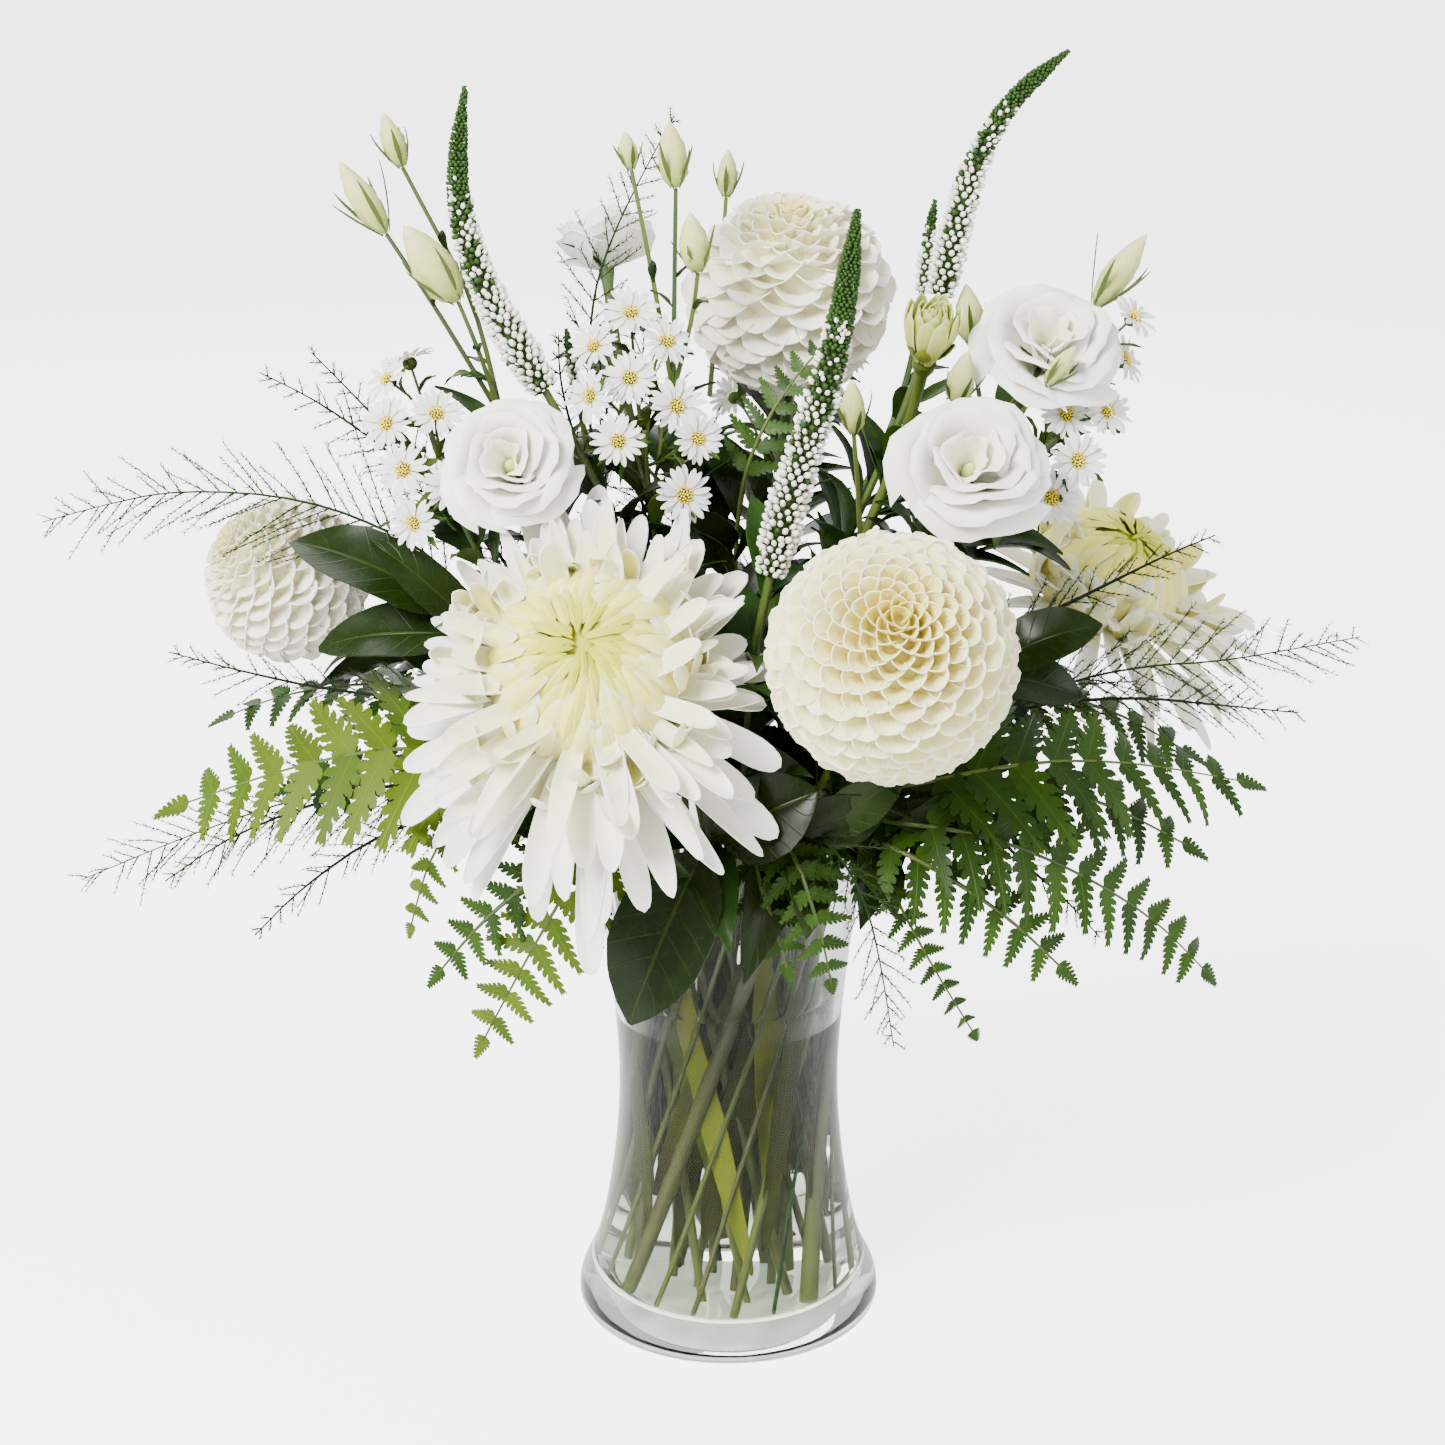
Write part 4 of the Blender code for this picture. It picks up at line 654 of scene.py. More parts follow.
def stem_finish(name, fresh, pale, soaked, bruised):
    """Stem: fibrous green skin with fine lengthwise streaks. From a little over the rim downwards it turns a
    darker olive, partly soaked stem and partly painted shade under the bouquet, and it is brown in places
    where it has stood in water."""
    finish, tree, skin = new_finish(name)
    across, along, _, shade = place_on(tree)
    coords = add_node(tree, "TexCoord").outputs["Object"]
    height = add_node(tree, "SeparateXYZ", coords).outputs[2]
    wide = add_node(tree, "Math", across, 9.0, operation="MULTIPLY")
    far = add_node(tree, "Math", along, 0.5, operation="MULTIPLY")
    own = add_node(tree, "Math", shade, 30.0, operation="MULTIPLY")
    fibre = add_node(tree, "CombineXYZ", wide, far, own)
    streak = add_node(tree, "TexNoise", inputs={"Vector": fibre, "Scale": 1.2, "Detail": 4.0})
    stain = add_node(tree, "TexNoise", inputs={"Vector": coords, "Scale": STEM_STAINS, "Detail": 3.0})
    own = add_node(tree, "Math", shade, 0.4, operation="MULTIPLY")
    mixed = add_node(tree, "Math", streak, own, operation="ADD")
    growth = add_node(tree, "MapRange", mixed, 0.45, 0.95)
    dry = add_node(tree, "Mix", growth, inputs={6: fresh, 7: pale})
    own = add_node(tree, "Math", shade, 0.5, operation="MULTIPLY")
    mixed = add_node(tree, "Math", stain, own, operation="ADD")
    decay = add_node(tree, "MapRange", mixed, 0.62, 0.92)
    soaked_and_shaded = add_node(tree, "Mix", decay, inputs={6: soaked, 7: bruised})
    faint = add_node(tree, "Math", streak, 0.5, operation="MULTIPLY")
    soaked_and_shaded = add_node(tree, "Mix", faint, inputs={6: soaked_and_shaded, 7: pale})
    # Darker olive from 235 mm down to 150 mm: partly a soaked stem, partly painted shade under the bouquet.
    depth = add_node(tree, "MapRange", height, 0.235, 0.150)
    body = add_node(tree, "Mix", depth, inputs={6: dry, 7: soaked_and_shaded})
    ridge = add_node(tree, "Bump", inputs={"Height": streak, "Strength": 0.4, "Distance": 0.0005})
    set_inputs(tree, skin, {
        "Base Color": body, "Normal": ridge, "Roughness": 0.45, "Subsurface Weight": 0.1,
        "Subsurface Radius": (0.6, 1.0, 0.3), "Subsurface Scale": 0.001,
    })
    return finish


def clear_finish(name, tint, bend, mirror, ripple=0.0):
    """Clear glass or water. The glass has the faint long ripples of a pressed and fire-polished wall. Water
    that wets the glass mirrors very little, so its mirror value is low. Shadow rays pass straight through, so
    that the stems inside get their light."""
    finish, tree, skin = new_finish(name)
    set_inputs(tree, skin, {"Base Color": tint, "Roughness": 0.0, "IOR": bend, "Transmission Weight": 1.0,
                            "Specular Tint": (mirror, mirror, mirror, 1.0)})
    through = add_node(tree, "BsdfTransparent", tint)
    shadow = add_node(tree, "LightPath").outputs["Is Shadow Ray"]
    both = add_node(tree, "MixShader", shadow, skin, through)
    set_inputs(tree, tree.nodes["Material Output"], {"Surface": both})
    if ripple:
        coords = add_node(tree, "TexCoord").outputs["Object"]
        long = add_node(tree, "Mapping", coords, inputs={3: GLASS_RIPPLES})
        wave = add_node(tree, "TexNoise", inputs={"Vector": long, "Scale": 1.0, "Detail": 2.0})
        bump = add_node(tree, "Bump", inputs={"Height": wave, "Strength": ripple, "Distance": 0.001})
        set_inputs(tree, skin, {"Normal": bump})
    return finish


def disc_finish(name, dark, light):
    """Aster disc: tightly packed yellow florets with a grainy, pollen-dusted surface."""
    finish, tree, skin = new_finish(name)
    along = place_on(tree)[1]
    coords = add_node(tree, "TexCoord").outputs["Object"]
    grain = add_node(tree, "TexNoise", inputs={"Vector": coords, "Scale": DISC_GRAINS, "Detail": 3.0})
    dust = add_node(tree, "Math", grain, 0.6, operation="MULTIPLY")
    outward = add_node(tree, "Math", along, 0.5, operation="MULTIPLY")
    mixed = add_node(tree, "Math", dust, outward, operation="ADD")
    ripe = add_node(tree, "MapRange", mixed, 0.3, 0.8)
    tone = add_node(tree, "Mix", ripe, inputs={6: dark, 7: light})
    bump = add_node(tree, "Bump", inputs={"Height": grain, "Strength": 0.5, "Distance": 0.0003})
    set_inputs(tree, skin, {"Base Color": tone, "Normal": bump, "Roughness": 0.7})
    return finish


# Meshes

def select_only(thing):
    for other in bpy.context.selected_objects:
        other.select_set(False)
    bpy.context.view_layer.objects.active = thing
    if thing is not None:
        thing.select_set(True)


def new_thing(name, data):
    thing = bpy.data.objects.new(name, data)
    bpy.context.scene.collection.objects.link(thing)
    return thing


def thicken(thing):
    """Gives a flat blank a thickness of 1, half of it on each side."""
    thick = thing.modifiers.new("thickness", "SOLIDIFY")
    thick.thickness = 1.0
    thick.offset = 0.0
    bpy.ops.object.modifier_apply(modifier=thick.name)


def lift_points(height):
    """Lifts all points of the active object."""
    bpy.ops.object.mode_set(mode="EDIT")
    bpy.ops.mesh.select_all(action="SELECT")
    bpy.ops.transform.translate(value=(0.0, 0.0, height))
    bpy.ops.object.mode_set(mode="OBJECT")


def read_away(thing):
    """Takes an object's points and faces and removes the object."""
    points = np.array([v.co[:] for v in thing.data.vertices])
    faces = [tuple(p.vertices) for p in thing.data.polygons]
    mesh = thing.data
    bpy.data.objects.remove(thing, do_unlink=True)
    bpy.data.meshes.remove(mesh)
    return points, faces


def petal_blank(columns, rows):
    """A flat blank with a real thickness: across from -1 to 1, along from 0 to 1, thick from -0.5 to 0.5."""
    select_only(None)
    bpy.ops.mesh.primitive_grid_add(x_subdivisions=columns, y_subdivisions=rows, size=2.0)
    blank = bpy.context.object
    bpy.ops.object.mode_set(mode="EDIT")
    bpy.ops.mesh.select_all(action="SELECT")
    bpy.ops.transform.translate(value=(0.0, 1.0, 0.0))
    bpy.ops.transform.resize(value=(1.0, 0.5, 1.0), center_override=(0.0, 0.0, 0.0))
    bpy.ops.object.mode_set(mode="OBJECT")
    thicken(blank)
    points, faces = read_away(blank)
    points[:, 1] = 1.0 - (1.0 - points[:, 1]) ** TIP_CROWDING
    return points, faces


def bead_blank(segments, rings):
    """A small round bead of radius 1 that stands on z = 0."""
    select_only(None)
    bpy.ops.mesh.primitive_uv_sphere_add(segments=segments, ring_count=rings, radius=1.0)
    lift_points(1.0)
    return read_away(bpy.context.object)


def needle_blank():
    """A three-sided needle of length 1 along z and radius 1 at its base."""
    select_only(None)
    bpy.ops.mesh.primitive_cone_add(vertices=3, radius1=1.0, radius2=0.0, depth=1.0, end_fill_type="NGON")
    lift_points(0.5)
    return read_away(bpy.context.object)


class Pile:
    """Collects the copies that make up one piece, each with its own points, and turns them into a mesh."""

    def __init__(self):
        self.points = []
        self.faces = []
        self.place = []
        self.shade = []
        self.finish = []
        self.count = 0

    def add(self, points, faces, across, along, heart=0.0, shade=0.5, finish=0):
        """Adds a copy. The places of its points, its heart and its shade steer the colours."""
        points = np.asarray(points, dtype=float)
        low = self.count
        self.points.append(points)
        self.faces += [tuple(i + low for i in face) for face in faces]
        size = len(points)
        place = np.empty((size, 3))
        place[:, 0] = across
        place[:, 1] = along
        place[:, 2] = heart
        self.place.append(place)
        self.shade.append(np.full(size, shade))
        self.finish += [finish] * len(faces)
        self.count += size

    def lay(self, points, blank, heart, shade, finish=0):
        """Adds a bent petal or leaf blank, whose flat points are its places across and along."""
        self.add(points, blank[1], blank[0][:, 0], blank[0][:, 1], heart, shade, finish)

    def piece(self, name, finishes, nodes=(), slot=None):
        mesh = bpy.data.meshes.new(name)
        mesh.from_pydata((np.concatenate(self.points) * MM).tolist(), [], self.faces)
        for finish in finishes:
            mesh.materials.append(finish)
        place = mesh.attributes.new("place", "FLOAT_VECTOR", "POINT")
        place.data.foreach_set("vector", np.concatenate(self.place).ravel())
        shade = mesh.attributes.new("shade", "FLOAT", "POINT")
        shade.data.foreach_set("value", np.concatenate(self.shade))
        mesh.polygons.foreach_set("material_index", self.finish)
        mesh.shade_smooth()
        mesh.set_sharp_from_angle(angle=SMOOTH_FOLD)
        mesh.update()
        return settle(new_thing(name, mesh), nodes)


def settle(piece, nodes=()):
    """Fixes a finished piece to the vase's body and hides the solid parts that it stands for."""
    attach(piece, "root")
    if nodes:
        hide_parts(*nodes)
    return piece


def laid(blank, surface, thickness):
    """Bends a blank on to a surface, which gives a point for each place across and along."""
    points = blank[0]
    a, l, t = points[:, 0], points[:, 1], points[:, 2]
    step = 0.004
    spot = surface(a, l)
    side = surface(a + step, l) - surface(a - step, l)
    ahead = surface(a, l + step) - surface(a, l - step)
    out = np.cross(side, ahead)
    size = np.linalg.norm(out, axis=1)
    size[size < 1e-12] = 1.0
    return spot + out / size[:, None] * (t * thickness)[:, None]


def tapered(root, widest, rounding, blunt):
    """An outline that widens from its root and closes in a round tip."""
    def outline(x):
        x = np.clip(x, 0.0, 1.0)
        grown = root + (1 - root) * np.sin(np.clip(x / widest, 0.0, 1.0) * math.pi / 2)
        past = np.clip((x - rounding) / (1 - rounding), 0.0, 1.0)
        return grown * np.sqrt(np.maximum(1 - past ** blunt, 0.0004))
    return outline


STRAP = tapered(0.30, 0.74, 0.78, 2.0)
POINTED = tapered(0.30, 0.62, 0.56, 1.5)
SPOON = tapered(0.40, 0.62, 0.58, 2.2)
LANCE = curve_of([
    (-0.1, 0.06), (0.0, 0.08), (0.06, 0.1), (0.16, 0.42), (0.3, 0.8), (0.45, 1.0), (0.6, 0.92), (0.78, 0.6),
    (0.92, 0.24), (1.0, 0.03), (1.1, 0.01),
])
OVAL = curve_of([
    (-0.1, 0.08), (0.0, 0.08), (0.07, 0.1), (0.15, 0.55), (0.28, 0.88), (0.45, 1.0), (0.64, 0.95),
    (0.8, 0.72), (0.92, 0.38), (1.0, 0.05), (1.1, 0.02),
])
BUD_SHAPE = curve_of([
    (0.0, 0.0), (0.04, 0.45), (0.2, 0.85), (0.45, 1.0), (0.7, 0.74), (0.88, 0.36), (0.96, 0.16), (1.0, 0.0),
])


def petal(blank, length, width, start, end, outline, curl=1.5, cup=0.6, groove=0.0, sway=0.0, twist=0.0,
          shorter=0.1, thickness=0.5, ruffle=0.0, phase=0.0, tip_cup=None):
    """A petal from the origin along +y with its inner face towards +z. start and end are the slopes at its
    root and tip in radians, and cup is the arc of its cross-section in radians."""
    s = np.linspace(-0.1, 1.1, 61)
    slope = start + (end - start) * np.clip(s, 0.0, 1.2) ** curl
    step = (s[1] - s[0]) * length
    ys = np.concatenate([[0.0], np.cumsum((np.cos(slope[1:]) + np.cos(slope[:-1])) / 2 * step)])
    zs = np.concatenate([[0.0], np.cumsum((np.sin(slope[1:]) + np.sin(slope[:-1])) / 2 * step)])
    ys -= np.interp(0.0, s, ys)
    zs -= np.interp(0.0, s, zs)
    tip_cup = cup if tip_cup is None else tip_cup

    def surface(a, l):
        reach = l * (1.0 - shorter * a * a * np.clip(l, 0.0, 1.2) ** 4)
        half = width / 2 * outline(reach)
        arc = np.maximum(cup + (tip_cup - cup) * reach, 0.02)
        radius = 2 * half / arc
        x = radius * np.sin(a * arc / 2)
        rise = radius * (1 - np.cos(a * arc / 2))
        rise = rise + groove * np.cos(2.0 * math.pi * a) * np.clip(1.15 - reach, 0.0, 1.0)
        rise = rise + ruffle * a * a * np.sin(9.0 * reach + phase + a)
        turn = twist * reach
        x, rise = x * np.cos(turn) - rise * np.sin(turn), x * np.sin(turn) + rise * np.cos(turn)
        angle = np.interp(reach, s, slope)
        y = np.interp(reach, s, ys) - np.sin(angle) * rise
        z = np.interp(reach, s, zs) + np.cos(angle) * rise
        return np.stack([x + sway * reach * reach, y, z], axis=1)

    return laid(blank, surface, thickness)


def tube(points, radii, sides=8):
    """A round closed tube along a route, with its points' places round it and along it."""
    points = np.array(points, dtype=float)
    count = len(points)
    radii = np.full(count, radii) if np.isscalar(radii) else np.asarray(radii, dtype=float)
    ways = route_ways(points)
    side = unit(np.cross(ways[0], (0.31, 0.95, 0.02)))
    turns = np.arange(sides) * 2 * math.pi / sides
    rings = []
    for i in range(count):
        side = unit(side - ways[i] * side.dot(ways[i]))
        up = np.cross(ways[i], side)
        rings.append(points[i] + radii[i] * (np.cos(turns)[:, None] * side + np.sin(turns)[:, None] * up))
    verts = np.concatenate(rings)
    faces = [tuple(reversed(range(sides)))]
    for i in range(count - 1):
        low = i * sides
        for k in range(sides):
            j = (k + 1) % sides
            faces.append((low + k, low + j, low + sides + j, low + sides + k))
    faces.append(tuple((count - 1) * sides + k for k in range(sides)))
    steps = np.concatenate([[0.0], np.cumsum(np.linalg.norm(np.diff(points, axis=0), axis=1))])
    across = np.tile(np.cos(turns), count)
    along = np.repeat(steps / 10.0, sides)
    return verts, faces, across, along


def add_tube(pile, points, radii, sides=8, shade=0.5, heart=0.0, finish=0):
    verts, faces, across, along = tube(points, radii, sides)
    pile.add(verts, faces, across, along, heart, shade, finish)


def leaf_between(blank, base, tip, width, hint, outline, bow, fold, wave, seed, thickness=0.5, sag=0.0):
    """A leaf blade from base to tip with its upper face towards hint."""
    base = np.array(base, dtype=float)
    tip = np.array(tip, dtype=float)
    line = tip - base
    length = np.linalg.norm(line)
    ahead = line / length
    up = unit(np.array(hint, dtype=float) - ahead * np.dot(hint, ahead))
    side = np.cross(ahead, up)

    def surface(a, l):
        half = width / 2 * outline(l)
        rise = length * bow * 4 * l * (1 - l) + half * fold * np.abs(a) ** 1.3
        rise = rise + wave * a * np.sin(11.0 * l + seed)
        rise = rise + wave * 0.6 * np.sin(7.0 * l + 2 * seed) * (1 - a * a)
        drop = sag * l * l
        return (base + np.outer(l, line) + np.outer(half * a, side) + np.outer(rise, up)
                - np.outer(drop, (0.0, 0.0, 1.0)))

    return laid(blank, surface, thickness)


# Glass and water

def spun_piece(name, profile, finish):
    """Spins a profile of (radius, height) pairs round the z axis and smooths the turned body."""
    select_only(None)
    mesh = bpy.data.meshes.new(name)
    points = [(r * MM, 0.0, z * MM) for r, z in profile]
    mesh.from_pydata(points, [(i, i + 1) for i in range(len(points) - 1)], [])
    piece = new_thing(name, mesh)
    select_only(piece)
    bpy.ops.object.mode_set(mode="EDIT")
    bpy.ops.mesh.select_all(action="SELECT")
    bpy.ops.mesh.spin(steps=96, angle=2 * math.pi, center=(0.0, 0.0, 0.0), axis=(0.0, 0.0, 1.0))
    bpy.ops.mesh.select_all(action="SELECT")
    bpy.ops.mesh.remove_doubles(threshold=0.00001)
    bpy.ops.mesh.normals_make_consistent(inside=False)
    bpy.ops.object.mode_set(mode="OBJECT")
    smooth = piece.modifiers.new("smooth", "SUBSURF")
    smooth.levels = 1
    smooth.render_levels = 1
    bpy.ops.object.modifier_apply(modifier=smooth.name)
    piece.data.shade_smooth()
    piece.data.materials.append(finish)
    return piece


def glass_profile():
    """The vase's profile with the thick wall's edges kept tight for smoothing."""
    outer = [(0.0, 0.0), (40.0, 0.0), (54.0, 0.0), (58.6, 0.5), (61.6, 2.4)]
    rim = [(59.3, 215.6), (58.6, 216.0), (57.8, 216.0), (57.0, 215.6)]
    return outer + OUTER_WALL + rim + INNER_WALL + [(46.0, 12.7), (30.0, 12.4), (0.0, 12.4)]


def water_profile(level):
    """Water reaches a hair into the wall, so that no air shows between the two, and climbs it a little."""
    hair = 0.15
    wall = INNER_WALL[::-1]
    edge = float(np.interp(level, [z for r, z in wall], [r for r, z in wall]))
    profile = [(0.0, 12.25), (30.0, 12.25), (46.0, 12.5)]
    profile += [(r + hair, z) for r, z in wall if z < level - 4]
    profile += [(edge + hair, level + 1.6), (edge - 0.5, level + 0.9), (edge - 1.6, level + 0.2),
                (edge - 4.0, level), (20.0, level), (0.0, level)]
    return profile


# Blooms

def turned_to(points, turn):
    """Turns points made along +y round the facing axis, so that y points to the given turn."""
    c, s = math.cos(turn), math.sin(turn)
    x, y, z = points[:, 0], points[:, 1], points[:, 2]
    return np.stack([c * y + s * x, s * y - c * x, z], axis=1)


def put(points, axes, base):
    return np.asarray(base, dtype=float) + points @ axes


def chrysanthemum(name, core, reach, low, rays, dome_count, seed, finishes):
    """A decorative chrysanthemum: an incurved dome, hooked petals round it and long hanging rays."""
    rng = np.random.default_rng(seed)
    base, facing = HEADS[name]
    axes = facing_axes(facing)
    pile = Pile()
    broad = petal_blank(4, 10)
    slim = petal_blank(4, 7)
    tiny = petal_blank(2, 5)
    # The lengths below are those of the front bloom, whose dome has a radius of 41.
    scale = core / 41.0

    def show(points, heart, turn, lift, out):
        points = points + np.array((0.0, out, lift))
        pile.lay(put(turned_to(points, turn), axes, base), broad, heart, rng.random())

    for i in range(rays):
        row = i / rays
        turn = i * GOLDEN_TURN + rng.normal(0.0, 0.06)
        hang = 1.0 + low * max(0.0, -math.sin(turn)) ** 1.3 + 0.10 * max(0.0, math.sin(turn)) ** 2
        length = (reach * hang - 16.0 * scale) * (1.0 - 0.28 * row) * rng.uniform(0.82, 1.03)
        down = max(0.0, -math.sin(turn))
        start = math.radians(-6.0 + 44.0 * row + rng.normal(0.0, 5.0))
        drop = math.radians(rng.uniform(-34.0, 6.0) - 22.0 * down + 18.0 * max(0.0, math.sin(turn)))
        if rng.random() < 0.16:
            drop = math.radians(rng.uniform(20.0, 60.0))
        width = rng.uniform(9.0, 13.0) * scale * (1.0 - 0.12 * row)
        outline = POINTED if rng.random() < 0.45 else STRAP
        shape = petal(broad, length, width, start, start + drop, outline, curl=rng.uniform(1.2, 2.4),
                      cup=rng.uniform(0.8, 1.8), tip_cup=rng.uniform(0.4, 1.5), groove=0.40 * scale,
                      sway=rng.normal(0.0, 4.0), twist=rng.normal(0.0, 0.28), shorter=rng.uniform(0.0, 0.03),
                      ruffle=0.35, phase=rng.uniform(0, 6))
        show(shape, 0.04 + 0.26 * row, turn, (5.0 + 17.0 * row) * scale, 13.0 * scale)
    hooks = int(rays * 0.42)
    for i in range(hooks):
        row = i / hooks
        turn = i * GOLDEN_TURN + 0.7 + rng.normal(0.0, 0.08)
        start = math.radians(6.0 + 20.0 * row + rng.normal(0.0, 5.0))
        end = start + math.radians(rng.uniform(45.0, 120.0))
        length = rng.uniform(40.0, 54.0) * scale * (1.0 + 0.10 * max(0.0, -math.sin(turn)))
        shape = petal(broad, length, rng.uniform(9.0, 12.0) * scale, start, end, STRAP,
                      curl=rng.uniform(1.4, 2.6), cup=rng.uniform(1.0, 1.9), groove=0.30 * scale,
                      sway=rng.normal(0.0, 3.0), twist=rng.normal(0.0, 0.25), shorter=0.02)
        show(shape, 0.30 + 0.16 * row, turn, (8.0 + 5.0 * row) * scale, 16.0 * scale)

    middle = np.array((0.0, 3.0, 25.0)) * scale
    round_radius = 37.0 * scale
    high_radius = 32.0 * scale
    # A ball under the dome in the yellow-green heart colour: partly the bloom's own green eye, partly painted
    # shade that makes the hollow between the dome petals look deep.
    heart = bead_blank(20, 12)
    under = (heart[0] - np.array((0.0, 0.0, 1.0))) * np.array((26.0, 26.0, 20.0)) * scale + middle
    pile.add(put(under, axes, base), heart[1], 0.0, 0.5, 1.0, 0.5)
    for i in range(dome_count):
        q = (dome_count - 1 - i) / (dome_count - 1.0)
        turn = i * GOLDEN_TURN
        blank = tiny if q < 0.16 else slim
        tip = math.radians(4.0 + 56.0 * q ** 0.85 + rng.normal(0.0, 3.0))
        root = tip + math.radians(34.0 + 58.0 * q)
        width = (3.0 + 8.4 * min(1.0, q * 1.3)) * scale
        swell = 0.79 + 0.25 * q + rng.normal(0.0, 0.024)
        lean = 0.25 + rng.normal(0.0, 0.22)
        arc = rng.uniform(1.8, 2.6)

        def surface(a, l):
            angle = root + (tip - root) * l
            half = width / 2 * SPOON(l)
            grow = swell * (1.0 + 0.05 * np.sin(math.pi * np.clip(l, 0, 1)) - 0.10 * np.clip(l, 0, 1.1) ** 4)
            bow = 2 * half / arc
            x = bow * np.sin(a * arc / 2) + lean * width * l * l
            sink = bow * (1 - np.cos(a * arc / 2)) - 0.22 * scale * np.cos(2 * math.pi * a)
            y = (round_radius * grow - sink) * np.sin(angle)
            z = (high_radius * grow - sink) * np.cos(angle)
            return np.stack([-x, y, z], axis=1)

        shape = laid(blank, surface, 0.55)
        points = put(turned_to(shape, turn) + middle, axes, base)
        pile.lay(points, blank, 0.42 + 0.58 * (1 - q) ** 2.2, rng.random())
    return pile.piece(name, finishes, [name], "white_petal")


def dahlia(name, radius, coarse, loose, seed, finishes):
    """A ball dahlia: rolled florets set in spirals all over a ball, smallest round the eye."""
    rng = np.random.default_rng(seed)
    base, facing = HEADS[name]
    axes = facing_axes(facing)
    pile = Pile()
    blank = petal_blank(6, 4)
    middle = np.array((0.0, 0.0, radius * 0.84))
    polar = math.radians(4.0)
    i = 0
    while polar < math.radians(158.0):
        # The florets grow from the eye up to 62 degrees from it. The front dahlia has a radius of 44.
        share = min(1.0, polar / math.radians(62.0))
        size = (3.2 + (coarse - 3.2) * share ** 0.8) * radius / 44.0
        turn = i * GOLDEN_TURN + rng.normal(0.0, 0.012 + 0.02 * loose)
        deep = 1.05 * size if share > 0.4 else 1.4 * size
        opening = math.radians(10.0 + 32.0 * share + rng.normal(0.0, 3.0 + 9.0 * loose))
        shape = petal(blank, deep * (1.35 + 0.2 * loose), size * 2.2, math.radians(14.0),
                      -opening - math.radians(12.0), SPOON, curl=1.3,
                      cup=3.7 - (1.2 + 0.7 * loose) * share + rng.normal(0.0, 0.12),
                      tip_cup=2.8 - (1.0 + 0.7 * loose) * share, shorter=0.05, thickness=0.45,
                      twist=rng.normal(0.0, 0.06 + 0.14 * loose))
        sink = radius - deep * 1.12
        away = np.array((math.cos(turn) * math.sin(polar), math.sin(turn) * math.sin(polar), math.cos(polar)))
        outward = np.array((math.cos(turn) * math.cos(polar), math.sin(turn) * math.cos(polar),
                            -math.sin(polar)))
        side = np.cross(away, -outward)
        wobble = 1.0 + rng.normal(0.0, 0.012 + 0.02 * loose)
        points = middle + away * sink * wobble + shape @ np.array([side, away, -outward])
        points = put(points, axes, base)
        pile.lay(points, blank, (1 - share) ** 1.5 * 0.9, rng.random())
        polar += size * size / (2 * math.pi * radius * radius * max(math.sin(polar), 0.05)) * 1.02
        i += 1
    heart = bead_blank(24, 16)
    ball = (heart[0] - np.array((0.0, 0.0, 1.0))) * radius * 0.84 + middle
    pile.add(put(ball, axes, base), heart[1], 0.0, 0.6, 0.35, 0.5)
    return pile.piece(name, finishes, [name], "cream_petal")


def lisianthus(name, radius, seed, finishes, opened=1.0):
    """An open lisianthus: broad ruffled petals wound round each other, with a green-tinged eye."""
    rng = np.random.default_rng(seed)
    base, facing = HEADS[name]
    axes = facing_axes(facing)
    pile = Pile()
    blank = petal_blank(16, 9)
    # Rows of petals: their number, size, half span in degrees, height, flare and how near the heart they are.
    rows = (
        (3, 0.80, 78.0, 0.70, 0.34, 0.02),
        (3, 0.76, 80.0, 0.92, 0.28, 0.04),
        (3, 0.64, 76.0, 1.08, 0.22, 0.08),
        (2, 0.46, 112.0, 1.16, 0.20, 0.14),
        (2, 0.30, 125.0, 1.10, 0.14, 0.30),
        (1, 0.20, 150.0, 0.96, 0.06, 0.50),
    )
    for count, wide, span, tall, flare, heart in rows:
        flare = flare * opened
        shift = rng.uniform(0, WHOLE_TURN)
        for k in range(count):
            turn = shift + 2 * math.pi * k / count + rng.normal(0.0, 0.08)
            half = math.radians(span) * rng.uniform(0.94, 1.06)
            top = radius * tall * rng.uniform(0.94, 1.03)
            edge = rng.uniform(0, WHOLE_TURN)
            size = radius * wide

            def surface(a, l):
                rim = np.clip(l, 0.0, 1.1)
                angle = turn + a * half * (0.25 + 0.75 * np.clip(l, 0.0, 1.0) ** 0.45)
                belly = np.sin(np.clip(l, 0.0, 1.0) * math.pi * 0.5) ** 0.7
                belly = size * (0.06 + 0.94 * belly)
                out = belly + radius * flare * rim ** 4 + 0.10 * radius * a
                out = out + radius * 0.05 * np.sin(4.0 * angle + edge) * rim ** 3
                out = out + radius * 0.018 * np.sin(15.0 * angle + 2.0 * edge) * rim ** 8
                dip = np.abs(a) ** 2.6 * 0.42 * top
                height = top * rim ** 0.85 - dip * rim + radius * 0.05 * np.sin(6.0 * angle + edge) * rim ** 3
                height = height - radius * flare * 0.9 * rim ** 7
                return np.stack([out * np.cos(angle), out * np.sin(angle), height], axis=1)

            points = put(laid(blank, surface, 0.45), axes, base)
            pile.lay(points, blank, heart, rng.random())
    eye = bead_blank(10, 6)
    ball = eye[0] * np.array((0.11, 0.11, 0.26)) * radius
    pile.add(put(ball, axes, base), eye[1], 0.0, eye[0][:, 2] / 2, 1.0, 0.5)
    slim = petal_blank(2, 5)
    for k in range(5):
        shape = petal(slim, radius * 1.05, 2.6, math.radians(35.0), math.radians(rng.uniform(-10, 60)), LANCE,
                      cup=0.8, thickness=0.4)
        shape = turned_to(shape, k * FIFTH_TURN + 0.4) + np.array((0, 0, 0.5))
        pile.lay(put(shape, axes, base), slim, 0.0, rng.random(), 1)
    return pile.piece(name, finishes, [name], "white_petal")


